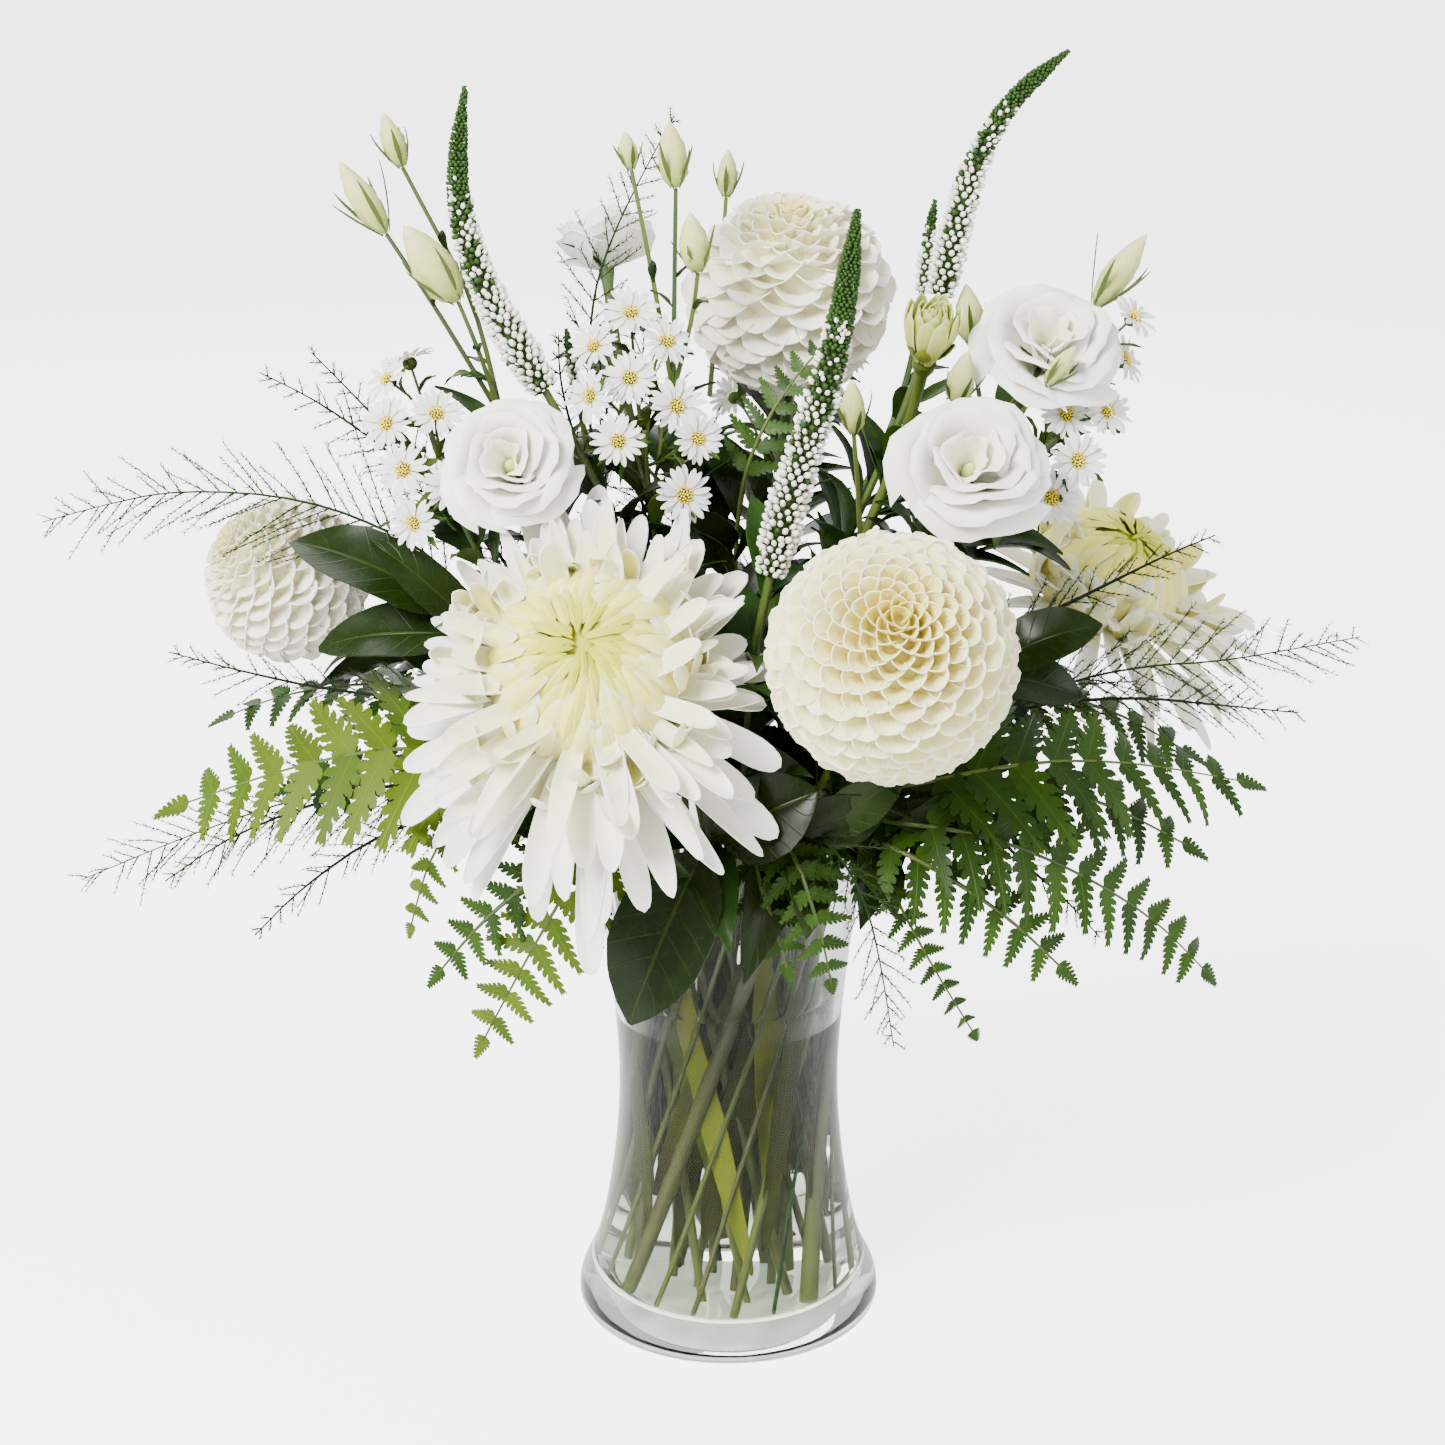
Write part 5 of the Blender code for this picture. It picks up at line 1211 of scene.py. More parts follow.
def daisy(pile, centre, facing, rng, blanks, size=1.0):
    """A small aster: a ring of narrow rays, a domed yellow disc of florets and a green cup under them."""
    ray, bead, cup = blanks
    axes = facing_axes(facing, rng.uniform(0, WHOLE_TURN))
    count = int(rng.integers(16, 22))
    for k in range(count):
        turn = 2 * math.pi * (k + rng.normal(0.0, 0.13)) / count
        row = k % 2
        length = rng.uniform(6.8, 8.4) * size
        shape = petal(ray, length, rng.uniform(2.2, 2.9) * size, math.radians(8.0 + 12.0 * row),
                      math.radians(rng.uniform(-26.0, 16.0)), POINTED, cup=0.7, shorter=0.02, thickness=0.25,
                      twist=rng.normal(0.0, 0.2))
        shape = shape + np.array((0.0, 2.4 * size, 0.2 + 0.35 * row))
        pile.lay(put(turned_to(shape, turn), axes, centre), ray, 0.0, rng.random())
    florets = 34
    for i in range(florets):
        r = 3.1 * size * math.sqrt((i + 0.5) / florets)
        turn = i * GOLDEN_TURN
        high = 1.5 * size * (1 - (r / (3.3 * size)) ** 2)
        spot = np.array((r * math.cos(turn), r * math.sin(turn), high))
        points = bead[0] * np.array((0.42, 0.42, 0.5)) * size + spot
        pile.add(put(points, axes, centre), bead[1], 0.0, 1 - i / florets, 0.0, rng.random(), 1)
    cup_points = (cup[0] - np.array((0.0, 0.0, 1.0))) * np.array((2.9, 2.9, 2.6))
    cup_points = (cup_points - np.array((0.0, 0.0, 1.5))) * size
    pile.add(put(cup_points, axes, centre), cup[1], 0.5, cup[0][:, 2] / 2, 0.0, 0.5, 2)


def pointed_bud(pile, foot, tip, radius, rng, blanks):
    """A closed, twisted lisianthus bud in a calyx of long thin sepals."""
    ball, slim = blanks
    foot = np.array(foot, dtype=float)
    tip = np.array(tip, dtype=float)
    length = np.linalg.norm(tip - foot)
    axes = facing_axes(tip - foot, rng.uniform(0, WHOLE_TURN))
    z = ball[0][:, 2] / 2
    turn = np.arctan2(ball[0][:, 1], ball[0][:, 0])
    fold = np.cos(5 * (turn - 3.2 * z))
    out = radius * BUD_SHAPE(z) * (1.0 + 0.09 * fold)
    points = np.stack([out * np.cos(turn), out * np.sin(turn), length * z], 1)
    pile.add(put(points, axes, foot), ball[1], fold, z, 0.9 - 0.6 * z, rng.random())
    for k in range(5):
        shape = petal(slim, length * rng.uniform(0.55, 0.85), 2.0, math.radians(58.0),
                      math.radians(rng.uniform(62.0, 96.0)), LANCE, cup=0.9, thickness=0.4)
        shape = shape + np.array((0.0, radius * 0.30, 0.0))
        pile.lay(put(turned_to(shape, k * FIFTH_TURN), axes, foot), slim, 0.0, rng.random(), 1)


def spike(route, widths, seed, bead_radius=1.42):
    """A flower spike: rows of small egg-shaped white buds in dark calyces, green and closed at the tip."""
    rng = np.random.default_rng(seed)
    spine = rounded(route)
    length = route_length(spine)
    wide = curve_of(list(zip((0.0, 0.12, 0.55, 0.85, 1.0), widths)))
    pile = Pile()
    spine = even_points(spine, 24)
    add_tube(pile, spine, [0.5 * wide(t) for t in np.linspace(0, 1, 24)], 8, 0.4, 0.0, 1)
    bead = bead_blank(6, 4)
    needle = needle_blank()
    steps = 240
    places = even_points(spine, steps + 1)
    ways = route_ways(places)
    t = 0.0
    row = 0
    while t <= 1.0:
        here = int(steps * t)
        ripe = float(np.interp(t, [0.0, 0.45, 0.70, 1.0], [1.0, 0.88, 0.66, 0.52]))
        size = bead_radius * ripe * (0.85 + 0.15 * min(1.0, t * 8))
        hold = max(wide(t) - size * 0.9, 0.35)
        count = max(4, int(2 * math.pi * hold / (size * (2.6 if t < 0.62 else 2.1))))
        side = unit(np.cross(ways[here], (0.2, 0.9, 0.1)))
        up = np.cross(ways[here], side)
        for k in range(count):
            turn = 2 * math.pi * (k + 0.5 * (row % 2) + rng.normal(0.0, 0.10)) / count
            away = math.cos(turn) * side + math.sin(turn) * up
            point = unit(away + ways[here] * rng.uniform(0.35, 0.75))
            axes = facing_axes(point, rng.uniform(0, WHOLE_TURN))
            spot = places[here] + away * (hold - size * rng.uniform(0.9, 1.25))
            each = size * rng.uniform(0.82, 1.1)
            green = rng.random() < float(np.interp(t, [0.0, 0.35, 0.58, 0.74], [0.02, 0.08, 0.45, 1.0]))
            points = bead[0] * np.array((each * 0.92, each * 0.92, each * (1.1 if green else 1.4)))
            pile.add(put(points, axes, spot), bead[1], 0.0, bead[0][:, 2] / 2, 0.9 if green else 0.1,
                     rng.random(), 2 if green else 0)
            for _ in range(2 if t < 0.6 else 1):
                swing = unit(rng.normal(0.0, 1.0, 3))
                lean = facing_axes(point + 0.55 * swing)
                shard = needle[0] * np.array((0.62, 0.62, each * (2.2 if t < 0.6 else 1.4)))
                pile.add(put(shard, lean, spot + swing * each * 0.6 - away * 0.2), needle[1], 0.0, 0.5, 0.0,
                         rng.random(), 1)
        t += size * (1.9 if t < 0.62 else 1.4) / length
        row += 1
    return pile


def thin_branch(pile, points, radius, finish, shade):
    spine = even_points(rounded(points), 9)
    add_tube(pile, spine, np.linspace(radius, radius * 0.75, 9), 5, shade, 0.0, finish)


def misses_heads(points):
    """True where a leaf stays out of the round space that each flower head fills."""
    for name, (base, facing) in HEADS.items():
        size = HEAD_ROOM[name]
        middle = np.array(base) + np.array(facing) * size * 0.8
        for point in points:
            if np.linalg.norm(point - middle) < size:
                return False
    return True


def small_leaves(pile, route, count, length, width, rng, blank, finish, low=0.1, high=0.95, spread=0.9,
                 shy=False):
    """Narrow leaves that stand alternately on a stem. Shy ones that would run into a flower are left out."""
    steps = 59
    spots = even_points(route, steps + 1)
    ways = route_ways(spots)
    for i in range(count):
        k = int(steps * (low + (high - low) * (i + rng.uniform(0.0, 0.8)) / count))
        turn = i * GOLDEN_TURN + rng.uniform(-0.4, 0.4)
        side = unit(np.cross(ways[k], (0.3, 0.9, 0.1)))
        up = np.cross(ways[k], side)
        away = math.cos(turn) * side + math.sin(turn) * up
        reach = length * rng.uniform(0.7, 1.1)
        ahead = unit(away * spread + ways[k] * rng.uniform(0.35, 0.95))
        tip = spots[k] + ahead * reach
        if shy and not misses_heads([tip, (tip + spots[k]) / 2]):
            continue
        shape = leaf_between(blank, spots[k], tip, width * rng.uniform(0.8, 1.15), ways[k] - away * 0.3,
                             LANCE, bow=rng.uniform(0.02, 0.16), fold=0.3, wave=0.4, seed=rng.uniform(0, 9),
                             sag=reach * rng.uniform(0.0, 0.2))
        pile.lay(shape, blank, 0.0, rng.random(), finish)


def aster_spray(name, seed, finishes):
    """A spray of small asters on thin forking stalks with narrow leaves."""
    rng = np.random.default_rng(seed)
    radius, route = STEMS[name]
    flowers = ASTERS[name]
    pile = Pile()
    ray, bead, cup, leaf = petal_blank(2, 3), bead_blank(5, 3), bead_blank(8, 6), petal_blank(4, 6)
    fork = np.array(route[-1], dtype=float)
    top = np.mean([np.array(f[0], dtype=float) for f in flowers], axis=0)
    axis = top - fork
    spine = stem_line(route, [fork + axis * 0.5])
    add_tube(pile, spine, np.linspace(radius, radius * 0.75, len(spine)), 8, rng.random(), 0.0, 3)
    tail = [np.array(route[-2], dtype=float), fork, fork + axis * 0.5]
    for i, (centre, facing) in enumerate(flowers):
        facing = unit(facing)
        centre = np.array(centre, dtype=float)
        foot = centre - facing * 4.0
        share = (i % 4) / 3.0
        if i % 2:
            start = tail[0] + (tail[1] - tail[0]) * (0.55 + 0.45 * share)
        else:
            start = tail[1] + (tail[2] - tail[1]) * 0.9 * share
        bend = foot - facing * min(14.0, np.linalg.norm(foot - start) * 0.4)
        middle = (start + bend) / 2 + np.array((0.0, 0.0, -2.0))
        twig = [start, middle, bend, foot]
        thin_branch(pile, twig, 0.8, 3, rng.random())
        small_leaves(pile, rounded(twig), 5, 16.0, 4.2, rng, leaf, 2)
        daisy(pile, centre, facing, rng, (ray, bead, cup), rng.uniform(1.0, 1.14))
    small_leaves(pile, above(spine, 222.0), 9, 34.0, 8.5, rng, leaf, 2, 0.15, 0.95)
    return pile.piece(name, finishes, [name], "aster_white")


def bud_spray(name, seed, finishes):
    """Closed lisianthus buds on thin shoots, with a pair of grey-green leaves at the fork."""
    rng = np.random.default_rng(seed)
    radius, route = STEMS[name]
    pile = Pile()
    blanks = (bead_blank(15, 10), petal_blank(2, 5))
    leaf = petal_blank(6, 10)
    spine = stem_line(route)
    add_tube(pile, spine, np.linspace(radius, radius * 0.85, len(spine)), 8, rng.random(), 0.0, 1)
    first = route[-2] * 0.3 + route[-1] * 0.7
    for points, tip, bud_radius in BUD_SPRAYS[name]:
        shoot = [first] + points
        thin_branch(pile, shoot, 1.15, 1, rng.random())
        pointed_bud(pile, points[-1], tip, bud_radius, rng, blanks)
        small_leaves(pile, rounded(shoot), 2, 17.0, 4.2, rng, leaf, 2, 0.2, 0.8)
    small_leaves(pile, above(spine, 222.0), 6, 46.0, 9.0, rng, leaf, 2, 0.2, 0.9, 0.6)
    return pile.piece(name, finishes, [name], "pale_green_bud")


# Fronds and sprays

def pinna_blank(lobes):
    """A leaflet cut into toothed lobes on both sides of its rib, flat, across -1 to 1 and along 0 to 1."""
    points = []
    faces = []
    for k in range(lobes + 1):
        l = 0.96 * k / lobes
        rib = 0.10 + 0.36 * min(l / 0.12, 1.0) * (1 - l)
        points += [(-rib, l, 0.0), (rib, l, 0.0)]
        if k:
            low = 2 * (k - 1)
            faces.append((low, low + 1, low + 3, low + 2))
    tip = len(points)
    points.append((0.0, 1.0, 0.0))
    faces.append((2 * lobes, 2 * lobes + 1, tip))
    for k in range(lobes):
        low = 0.96 * k / lobes
        high = 0.96 * (k + 1) / lobes
        step = high - low
        reach = max((1.0 - (k - 0.3) / lobes) ** 0.8, 0.16) * (0.8 if k == 0 else 1.0)
        for sign, first in ((-1, 0), (1, 1)):
            a, b = 2 * k + first, 2 * (k + 1) + first
            n = len(points)
            for out, along in ((0.56, 0.02), (0.74, 0.00), (0.78, 0.14), (0.94, 0.22), (1.0, 0.62),
                               (0.92, 0.88), (0.78, 0.85), (0.62, 0.97)):
                points.append((sign * max(reach * out, 0.11), low + step * (along + 0.50 * out), 0.0))
            ring = (a,) + tuple(range(n, n + 8)) + (b,)
            faces.append(ring if sign > 0 else tuple(reversed(ring)))
    mesh = bpy.data.meshes.new("leaflet")
    mesh.from_pydata(points, [], faces)
    leaflet = new_thing("leaflet", mesh)
    select_only(leaflet)
    thicken(leaflet)
    return read_away(leaflet)


def even_outline(x):
    return np.ones_like(x)


def frond_frames(points, hint):
    """For each point on a rachis the way ahead, to the side and up, with the upper face towards hint."""
    ways = route_ways(points)
    ups = []
    for way in ways:
        ups.append(unit(np.array(hint, dtype=float) - way * np.dot(hint, way)))
    ups = np.array(ups)
    return ways, np.cross(ways, ups), ups


def frond(name, seed, finishes, stem, shape_of, replaced):
    """A fern frond: a thin rachis with pairs of cut leaflets that get shorter towards its tip."""
    rng = np.random.default_rng(seed)
    radius, route = stem
    rachis, longest, width, hint = shape_of
    pile = Pile()
    leaflet = pinna_blank(7)
    whole = stem_line(route, rachis)
    count = len(whole)
    radii = np.interp(np.arange(count), [0, count * 0.6, count], [radius, radius * 0.85, 0.35])
    add_tube(pile, whole, radii, 6, rng.random(), 0.0, 1)
    steps = 80
    blade = even_points(rounded([route[-1]] + rachis), steps + 1)
    ways, sides, ups = frond_frames(blade, hint)
    pairs = int(route_length(blade) / (5.0 + 0.21 * longest))
    spacing = route_length(blade) / (pairs + 0.5)
    for k in range(pairs):
        t = (k + 0.35) / (pairs + 0.2)
        spot = min(int(steps * t), steps)
        reach = longest * (0.30 + 0.88 * (1 - t) ** 0.8) * (0.85 if k == 0 else 1.0)
        reach = reach * rng.uniform(0.92, 1.03)
        broad = min(max(reach * 0.42, spacing * 0.75), reach * 0.62)
        for sign in (-1, 1):
            out = unit(sides[spot] * sign * 0.80 + ways[spot] * rng.uniform(0.38, 0.55) - ups[spot] * 0.10)
            up = unit(ups[spot] + rng.normal(0.0, 0.12, 3))
            up = unit(up - out * up.dot(out))
            start = math.radians(rng.uniform(0.0, 10.0))
            end = math.radians(rng.uniform(-34.0, -8.0))
            shape = petal(leaflet, reach, broad, start, end, even_outline, curl=1.2, cup=0.5, shorter=0.0,
                          thickness=0.28, sway=sign * reach * 0.06, ruffle=0.25, phase=rng.uniform(0, 6))
            turned = shape @ np.array([np.cross(out, up), out, up])
            pile.lay(blade[spot] + turned, leaflet, 0.15 * (1 - t), rng.random())
    tip = petal(leaflet, longest * 0.38, width * 0.9, 0.0, -0.3, even_outline, cup=0.4, shorter=0.0,
                thickness=0.28)
    axes = np.array([np.cross(ways[-1], ups[-1]), ways[-1], ups[-1]])
    pile.lay(blade[-1] - ways[-1] * 2.0 + tip @ axes, leaflet, 0.0, 0.5)
    return pile.piece(name, finishes, replaced, "fern_leaf")


def inside_frame(point):
    """True inside the box that the CAD model fills."""
    low, high = FRAME_BOX
    return bool(np.all(point > low) and np.all(point < high))


def needle_spray(name, seed, finishes, stem, shape_of, replaced):
    """An asparagus spray: thin branchlets that carry tufts of fine needles."""
    rng = np.random.default_rng(seed)
    radius, route = stem
    rachis, longest, hint = shape_of
    pile = Pile()
    needle = needle_blank()
    whole = stem_line(route, rachis)
    count = len(whole)
    radii = np.interp(np.arange(count), [0, count * 0.5, count], [radius, radius * 0.8, 0.25])
    add_tube(pile, whole, radii, 6, rng.random(), 0.0, 1)
    steps = 120
    blade = even_points(rounded([route[-1]] + rachis), steps + 1)
    ways, sides, ups = frond_frames(blade, hint)
    pairs = int(route_length(blade) / 6.5)
    for k in range(pairs):
        t = (k + 0.2) / pairs
        for sign in (-1, 1):
            spot = min(int(steps * (t + rng.uniform(0.0, 0.6) / pairs)), steps)
            reach = longest * (0.30 + 0.70 * (1 - t) ** 0.8) * rng.uniform(0.6, 1.15)
            reach = reach * (1.0 if t < 0.85 else 0.6)
            out = unit(sides[spot] * sign * rng.uniform(0.5, 1.0) + ways[spot] * rng.uniform(0.6, 1.1)
                       + ups[spot] * rng.uniform(-0.35, 0.25))
            bend = np.array((0.0, 0.0, -1.0)) * reach * rng.uniform(-0.05, 0.16)
            s = np.linspace(0.0, 1.0, 6)[:, None]
            twig = blade[spot] + s * out * reach + s * s * bend
            add_tube(pile, twig, np.linspace(0.34, 0.14, 6), 3, rng.random(), 0.0, 1)
            nodes = max(4, int(reach / 1.9))
            for n in range(nodes):
                u = (n + 0.6) / nodes
                here = blade[spot] + u * out * reach + u * u * bend
                for _ in range(3):
                    way = unit(out * 1.1 + rng.normal(0.0, 0.58, 3))
                    axes = facing_axes(way, rng.uniform(0, WHOLE_TURN))
                    long = rng.uniform(3.5, 8.0) * (1.0 - 0.4 * u) * (1.0 - 0.4 * t)
                    if not inside_frame(here + way * long):
                        continue
                    shard = needle[0] * np.array((0.22, 0.22, long))
                    pile.add(put(shard, axes, here), needle[1], 0.0, 0.5, 0.0, rng.random(), 0)
    return pile.piece(name, finishes, replaced, "asparagus_green")


def twig(name, seed, finishes):
    """A leafy twig with large glossy leaves."""
    rng = np.random.default_rng(seed)
    radius, route = STEMS[name]
    extra, leaves = TWIGS[name]
    pile = Pile()
    blank = petal_blank(10, 16)
    whole = stem_line(route, extra)
    add_tube(pile, whole, np.linspace(radius, radius * 0.7, len(whole)), 8, rng.random(), 0.0, 1)
    for base, tip, width, hint in leaves:
        shape = leaf_between(blank, base, tip, width, hint, OVAL, bow=0.12, fold=0.22, wave=0.8,
                             seed=rng.uniform(0, 9), thickness=0.55)
        pile.lay(shape, blank, 0.0, rng.random())
    return pile.piece(name, finishes, [name], "broad_leaf")


def plain_stem(pile, name, seed, flare):
    """A flower stem with slight nodes, and under a head the cup that the head stands in."""
    rng = np.random.default_rng(seed)
    radius, route = STEMS[name]
    body = even_points(stem_line(route), 46)
    radii = np.full(46, float(radius))
    for k in rng.integers(5, 44, 4):
        radii[k] *= 1.12
    if flare:
        height, wide = flare
        facing = HEADS[name.replace("_stem", "")][1]
        axis = unit(facing)
        end = route[-1]
        body = np.vstack([body[:-2], [end - axis * height, end - axis * height * 0.45, end + axis * 0.3]])
        radii = np.concatenate([radii[:-2], [radius * 1.1, wide * 0.85, wide]])
    add_tube(pile, body, radii, 10, rng.random(), 0.0, 0)
    return body


# Settings

class BouquetSizes(bpy.types.PropertyGroup):
    water_level: bpy.props.FloatProperty(
        name="Water level", description="Height of the water over the table", default=145.0 * MM,
        subtype="DISTANCE", unit="LENGTH")
    ray_count: bpy.props.IntProperty(
        name="Outer petals", description="Long petals on the front chrysanthemum",
        default=124, min=20, max=200)
    dome_count: bpy.props.IntProperty(
        name="Dome petals", description="Curled petals on the front chrysanthemum's dome",
        default=170, min=30, max=260)
    floret_size: bpy.props.FloatProperty(
        name="Dahlia floret", description="Spacing of the outer florets of the front dahlia",
        default=9.4 * MM, subtype="DISTANCE", unit="LENGTH")


class BouquetColours(bpy.types.PropertyGroup):
    petal_white: bpy.props.FloatVectorProperty(
        name="White petal", description="Outer petals of the white flowers", subtype="COLOR", size=4,
        default=colour_of("#f8f7f1"))
    petal_cream: bpy.props.FloatVectorProperty(
        name="Cream petal", description="Inner petals of the chrysanthemums", subtype="COLOR", size=4,
        default=colour_of("#f4ec78"))
    petal_heart: bpy.props.FloatVectorProperty(
        name="Heart", description="Yellow-green heart of the chrysanthemums", subtype="COLOR", size=4,
        default=colour_of("#c2c828"))
    dahlia_cream: bpy.props.FloatVectorProperty(
        name="Dahlia", description="Inside of the dahlia florets", subtype="COLOR", size=4,
        default=colour_of("#f9ea8a"))
    leaf_dark: bpy.props.FloatVectorProperty(
        name="Broad leaf", description="Dark upper face of the broad leaves", subtype="COLOR", size=4,
        default=colour_of("#111c04"))
    fern_fresh: bpy.props.FloatVectorProperty(
        name="Young fern", description="Light green of the young fronds", subtype="COLOR", size=4,
        default=colour_of("#354d05"))
    fern_deep: bpy.props.FloatVectorProperty(
        name="Old fern", description="Deep green of the older fronds", subtype="COLOR", size=4,
        default=colour_of("#172f05"))
    asparagus: bpy.props.FloatVectorProperty(
        name="Asparagus", description="Dark grey-green of the fine sprays", subtype="COLOR", size=4,
        default=colour_of("#0d1a07"))


def white_finish():
    look = bpy.context.scene.bouquet_colours
    return petal_finish("white petal", look.petal_white, look.petal_cream, look.petal_heart,
                        colour_of("#fafaf8"))


def fresh_leaf():
    return leaf_finish("soft green leaf", *colours_of("#142905", "#2d440d", "#465b1a"), 0.42)


def stalk_finish():
    return stem_finish("green stalk", *colours_of("#283e08", "#506013", "#343802", "#251604"))


def fill_stem(shape_of, radius):
    """The short stem of a filler: it stands just inside the rim, on the side to which the frond leans."""
    across, deep = shape_of[0][0][:2]
    turn = math.degrees(math.atan2(deep, across))
    return radius, [round_axis(36.0, turn, 205.0), round_axis(42.0, turn, 228.0)]


# Operators

class BOUQUET_OT_glass(bpy.types.Operator):
    """Turn the clear glass vase with its heavy foot"""
    bl_idname = "bouquet.glass"
    bl_label = "Glass vase"

    def execute(self, context):
        finish = clear_finish("clear glass", colour_of("#f6f9f7"), 1.5, 0.12, 0.03)
        vase = spun_piece("glass_vase", glass_profile(), finish)
        settle(vase, ["vase"])
        return {"FINISHED"}


class BOUQUET_OT_water(bpy.types.Operator):
    """Fill the vase with water"""
    bl_idname = "bouquet.water"
    bl_label = "Water"

    def execute(self, context):
        level = context.scene.bouquet_sizes.water_level / MM
        finish = clear_finish("water", colour_of("#f3f6ea"), 1.33, 0.05)
        water = spun_piece("vase_water", water_profile(level), finish)
        settle(water, ["water"])
        return {"FINISHED"}


class BOUQUET_OT_stems(bpy.types.Operator):
    """Draw the flower stems with the cups under the heads, and their leaves"""
    bl_idname = "bouquet.stems"
    bl_label = "Flower stems"

    def execute(self, context):
        stalk = stalk_finish()
        fresh = fresh_leaf()
        leaf = petal_blank(6, 10)
        for seed, (name, flare) in enumerate(STEM_CUPS.items(), start=40):
            rng = np.random.default_rng(seed)
            pile = Pile()
            body = plain_stem(pile, name, seed, flare)
            count, length, width = LEAF_KINDS[name.split("_")[0]]
            small_leaves(pile, above(body, 220.0), count, length, width, rng, leaf, 1, 0.12, 0.82, 0.8)
            pile.piece(name, [stalk, fresh], [name], "flower_stem")
        return {"FINISHED"}


class BOUQUET_OT_chrysanthemums(bpy.types.Operator):
    """Build both large chrysanthemums petal by petal"""
    bl_idname = "bouquet.chrysanthemums"
    bl_label = "Chrysanthemums"

    def execute(self, context):
        sizes = context.scene.bouquet_sizes
        white = white_finish()
        chrysanthemum("chrysanthemum_front", 41.0, 78.0, 0.42, sizes.ray_count, sizes.dome_count, 3, [white])
        chrysanthemum("chrysanthemum_right", 36.0, 64.0, 0.35, 80, 90, 8, [white])
        return {"FINISHED"}


class BOUQUET_OT_dahlias(bpy.types.Operator):
    """Build the three ball dahlias floret by floret"""
    bl_idname = "bouquet.dahlias"
    bl_label = "Ball dahlias"

    def execute(self, context):
        look = context.scene.bouquet_colours
        size = context.scene.bouquet_sizes.floret_size / MM
        cream = petal_finish("cream dahlia floret", colour_of("#fcf3ba"), look.dahlia_cream,
                             *colours_of("#f0de5c", "#fffdea"))
        pale = petal_finish("pale dahlia floret", *colours_of("#fcf8e4", "#faf2c0", "#f0de5c", "#fffef6"))
        dahlia("dahlia_front", 44.0, size, 0.15, 5, [cream])
        dahlia("dahlia_top", 38.0, size * 1.22, 0.9, 6, [pale])
        dahlia("dahlia_left", 31.0, size * 1.15, 0.5, 7, [pale])
        return {"FINISHED"}


class BOUQUET_OT_dahlia_bud(bpy.types.Operator):
    """Build the half-open dahlia bud with its green bracts"""
    bl_idname = "bouquet.dahlia_bud"
    bl_label = "Dahlia bud"

    def execute(self, context):
        rng = np.random.default_rng(12)
        base, facing = HEADS["dahlia_bud"]
        axes = facing_axes(facing)
        pile = Pile()
        blank = petal_blank(4, 6)
        for i in range(34):
            row = i / 33.0
            shape = petal(blank, 27.0 - 5.0 * row, 8.5 - 3.5 * row, math.radians(56.0 + 14.0 * row),
                          math.radians(104.0 + 12.0 * row + rng.normal(0, 4)), SPOON, cup=1.7, thickness=0.45)
            shape = shape + np.array((0.0, 4.5 * (1 - row), 1.0 + 4.5 * row))
            pile.lay(put(turned_to(shape, i * GOLDEN_TURN), axes, base), blank, 0.35 + 0.3 * row,
                     rng.random())
        for i in range(9):
            shape = petal(blank, 17.0, 7.0, math.radians(30.0), math.radians(rng.uniform(70.0, 110.0)), SPOON,
                          cup=1.2, thickness=0.5)
            shape = turned_to(shape, i * GOLDEN_TURN) + np.array((0, 0, 0.3))
            pile.lay(put(shape, axes, base), blank, 0.2, rng.random(), 1)
        bud = petal_finish("unripe dahlia floret", *colours_of("#dfe08e", "#bcc853", "#8ca42a", "#efecb8"))
        bract = leaf_finish("dahlia bract", *colours_of("#476415", "#84902b", "#a9a74a"), 0.4)
        pile.piece("dahlia_bud", [bud, bract], ["dahlia_bud"], "pale_green_bud")
        return {"FINISHED"}


class BOUQUET_OT_lisianthus(bpy.types.Operator):
    """Build the four open lisianthus flowers"""
    bl_idname = "bouquet.lisianthus"
    bl_label = "Lisianthus flowers"

    def execute(self, context):
        petals = petal_finish("lisianthus petal", *colours_of("#faf8f0", "#f5f1d2", "#cdd67e", "#fdfcf9"))
        sepal = fresh_leaf()
        lisianthus("lisianthus_left", 23.0, 21, [petals, sepal])
        lisianthus("lisianthus_right", 26.0, 22, [petals, sepal])
        lisianthus("lisianthus_upper_right", 25.0, 23, [petals, sepal])
        lisianthus("lisianthus_back", 21.0, 24, [petals, sepal], 0.3)
        return {"FINISHED"}


class BOUQUET_OT_lisianthus_buds(bpy.types.Operator):
    """Build the sprays of closed lisianthus buds"""
    bl_idname = "bouquet.lisianthus_buds"
    bl_label = "Lisianthus buds"

    def execute(self, context):
        bud = petal_finish("closed bud", *colours_of("#e6e7bc", "#cbd384", "#7c9a30", "#f2f2d4"))
        stalk, leaf = stalk_finish(), fresh_leaf()
        for seed, name in enumerate(BUD_SPRAYS, start=60):
            bud_spray(name, seed, [bud, stalk, leaf])
        rng = np.random.default_rng(66)
        blanks = (bead_blank(15, 10), petal_blank(2, 5))
        pile = Pile()
        for points, tip, radius in FILL_BUDS:
            thin_branch(pile, points, 1.2, 1, rng.random())
            pointed_bud(pile, points[-1], tip, radius, rng, blanks)
        pile.piece("small_buds", [bud, stalk], (), "pale_green_bud")
        return {"FINISHED"}


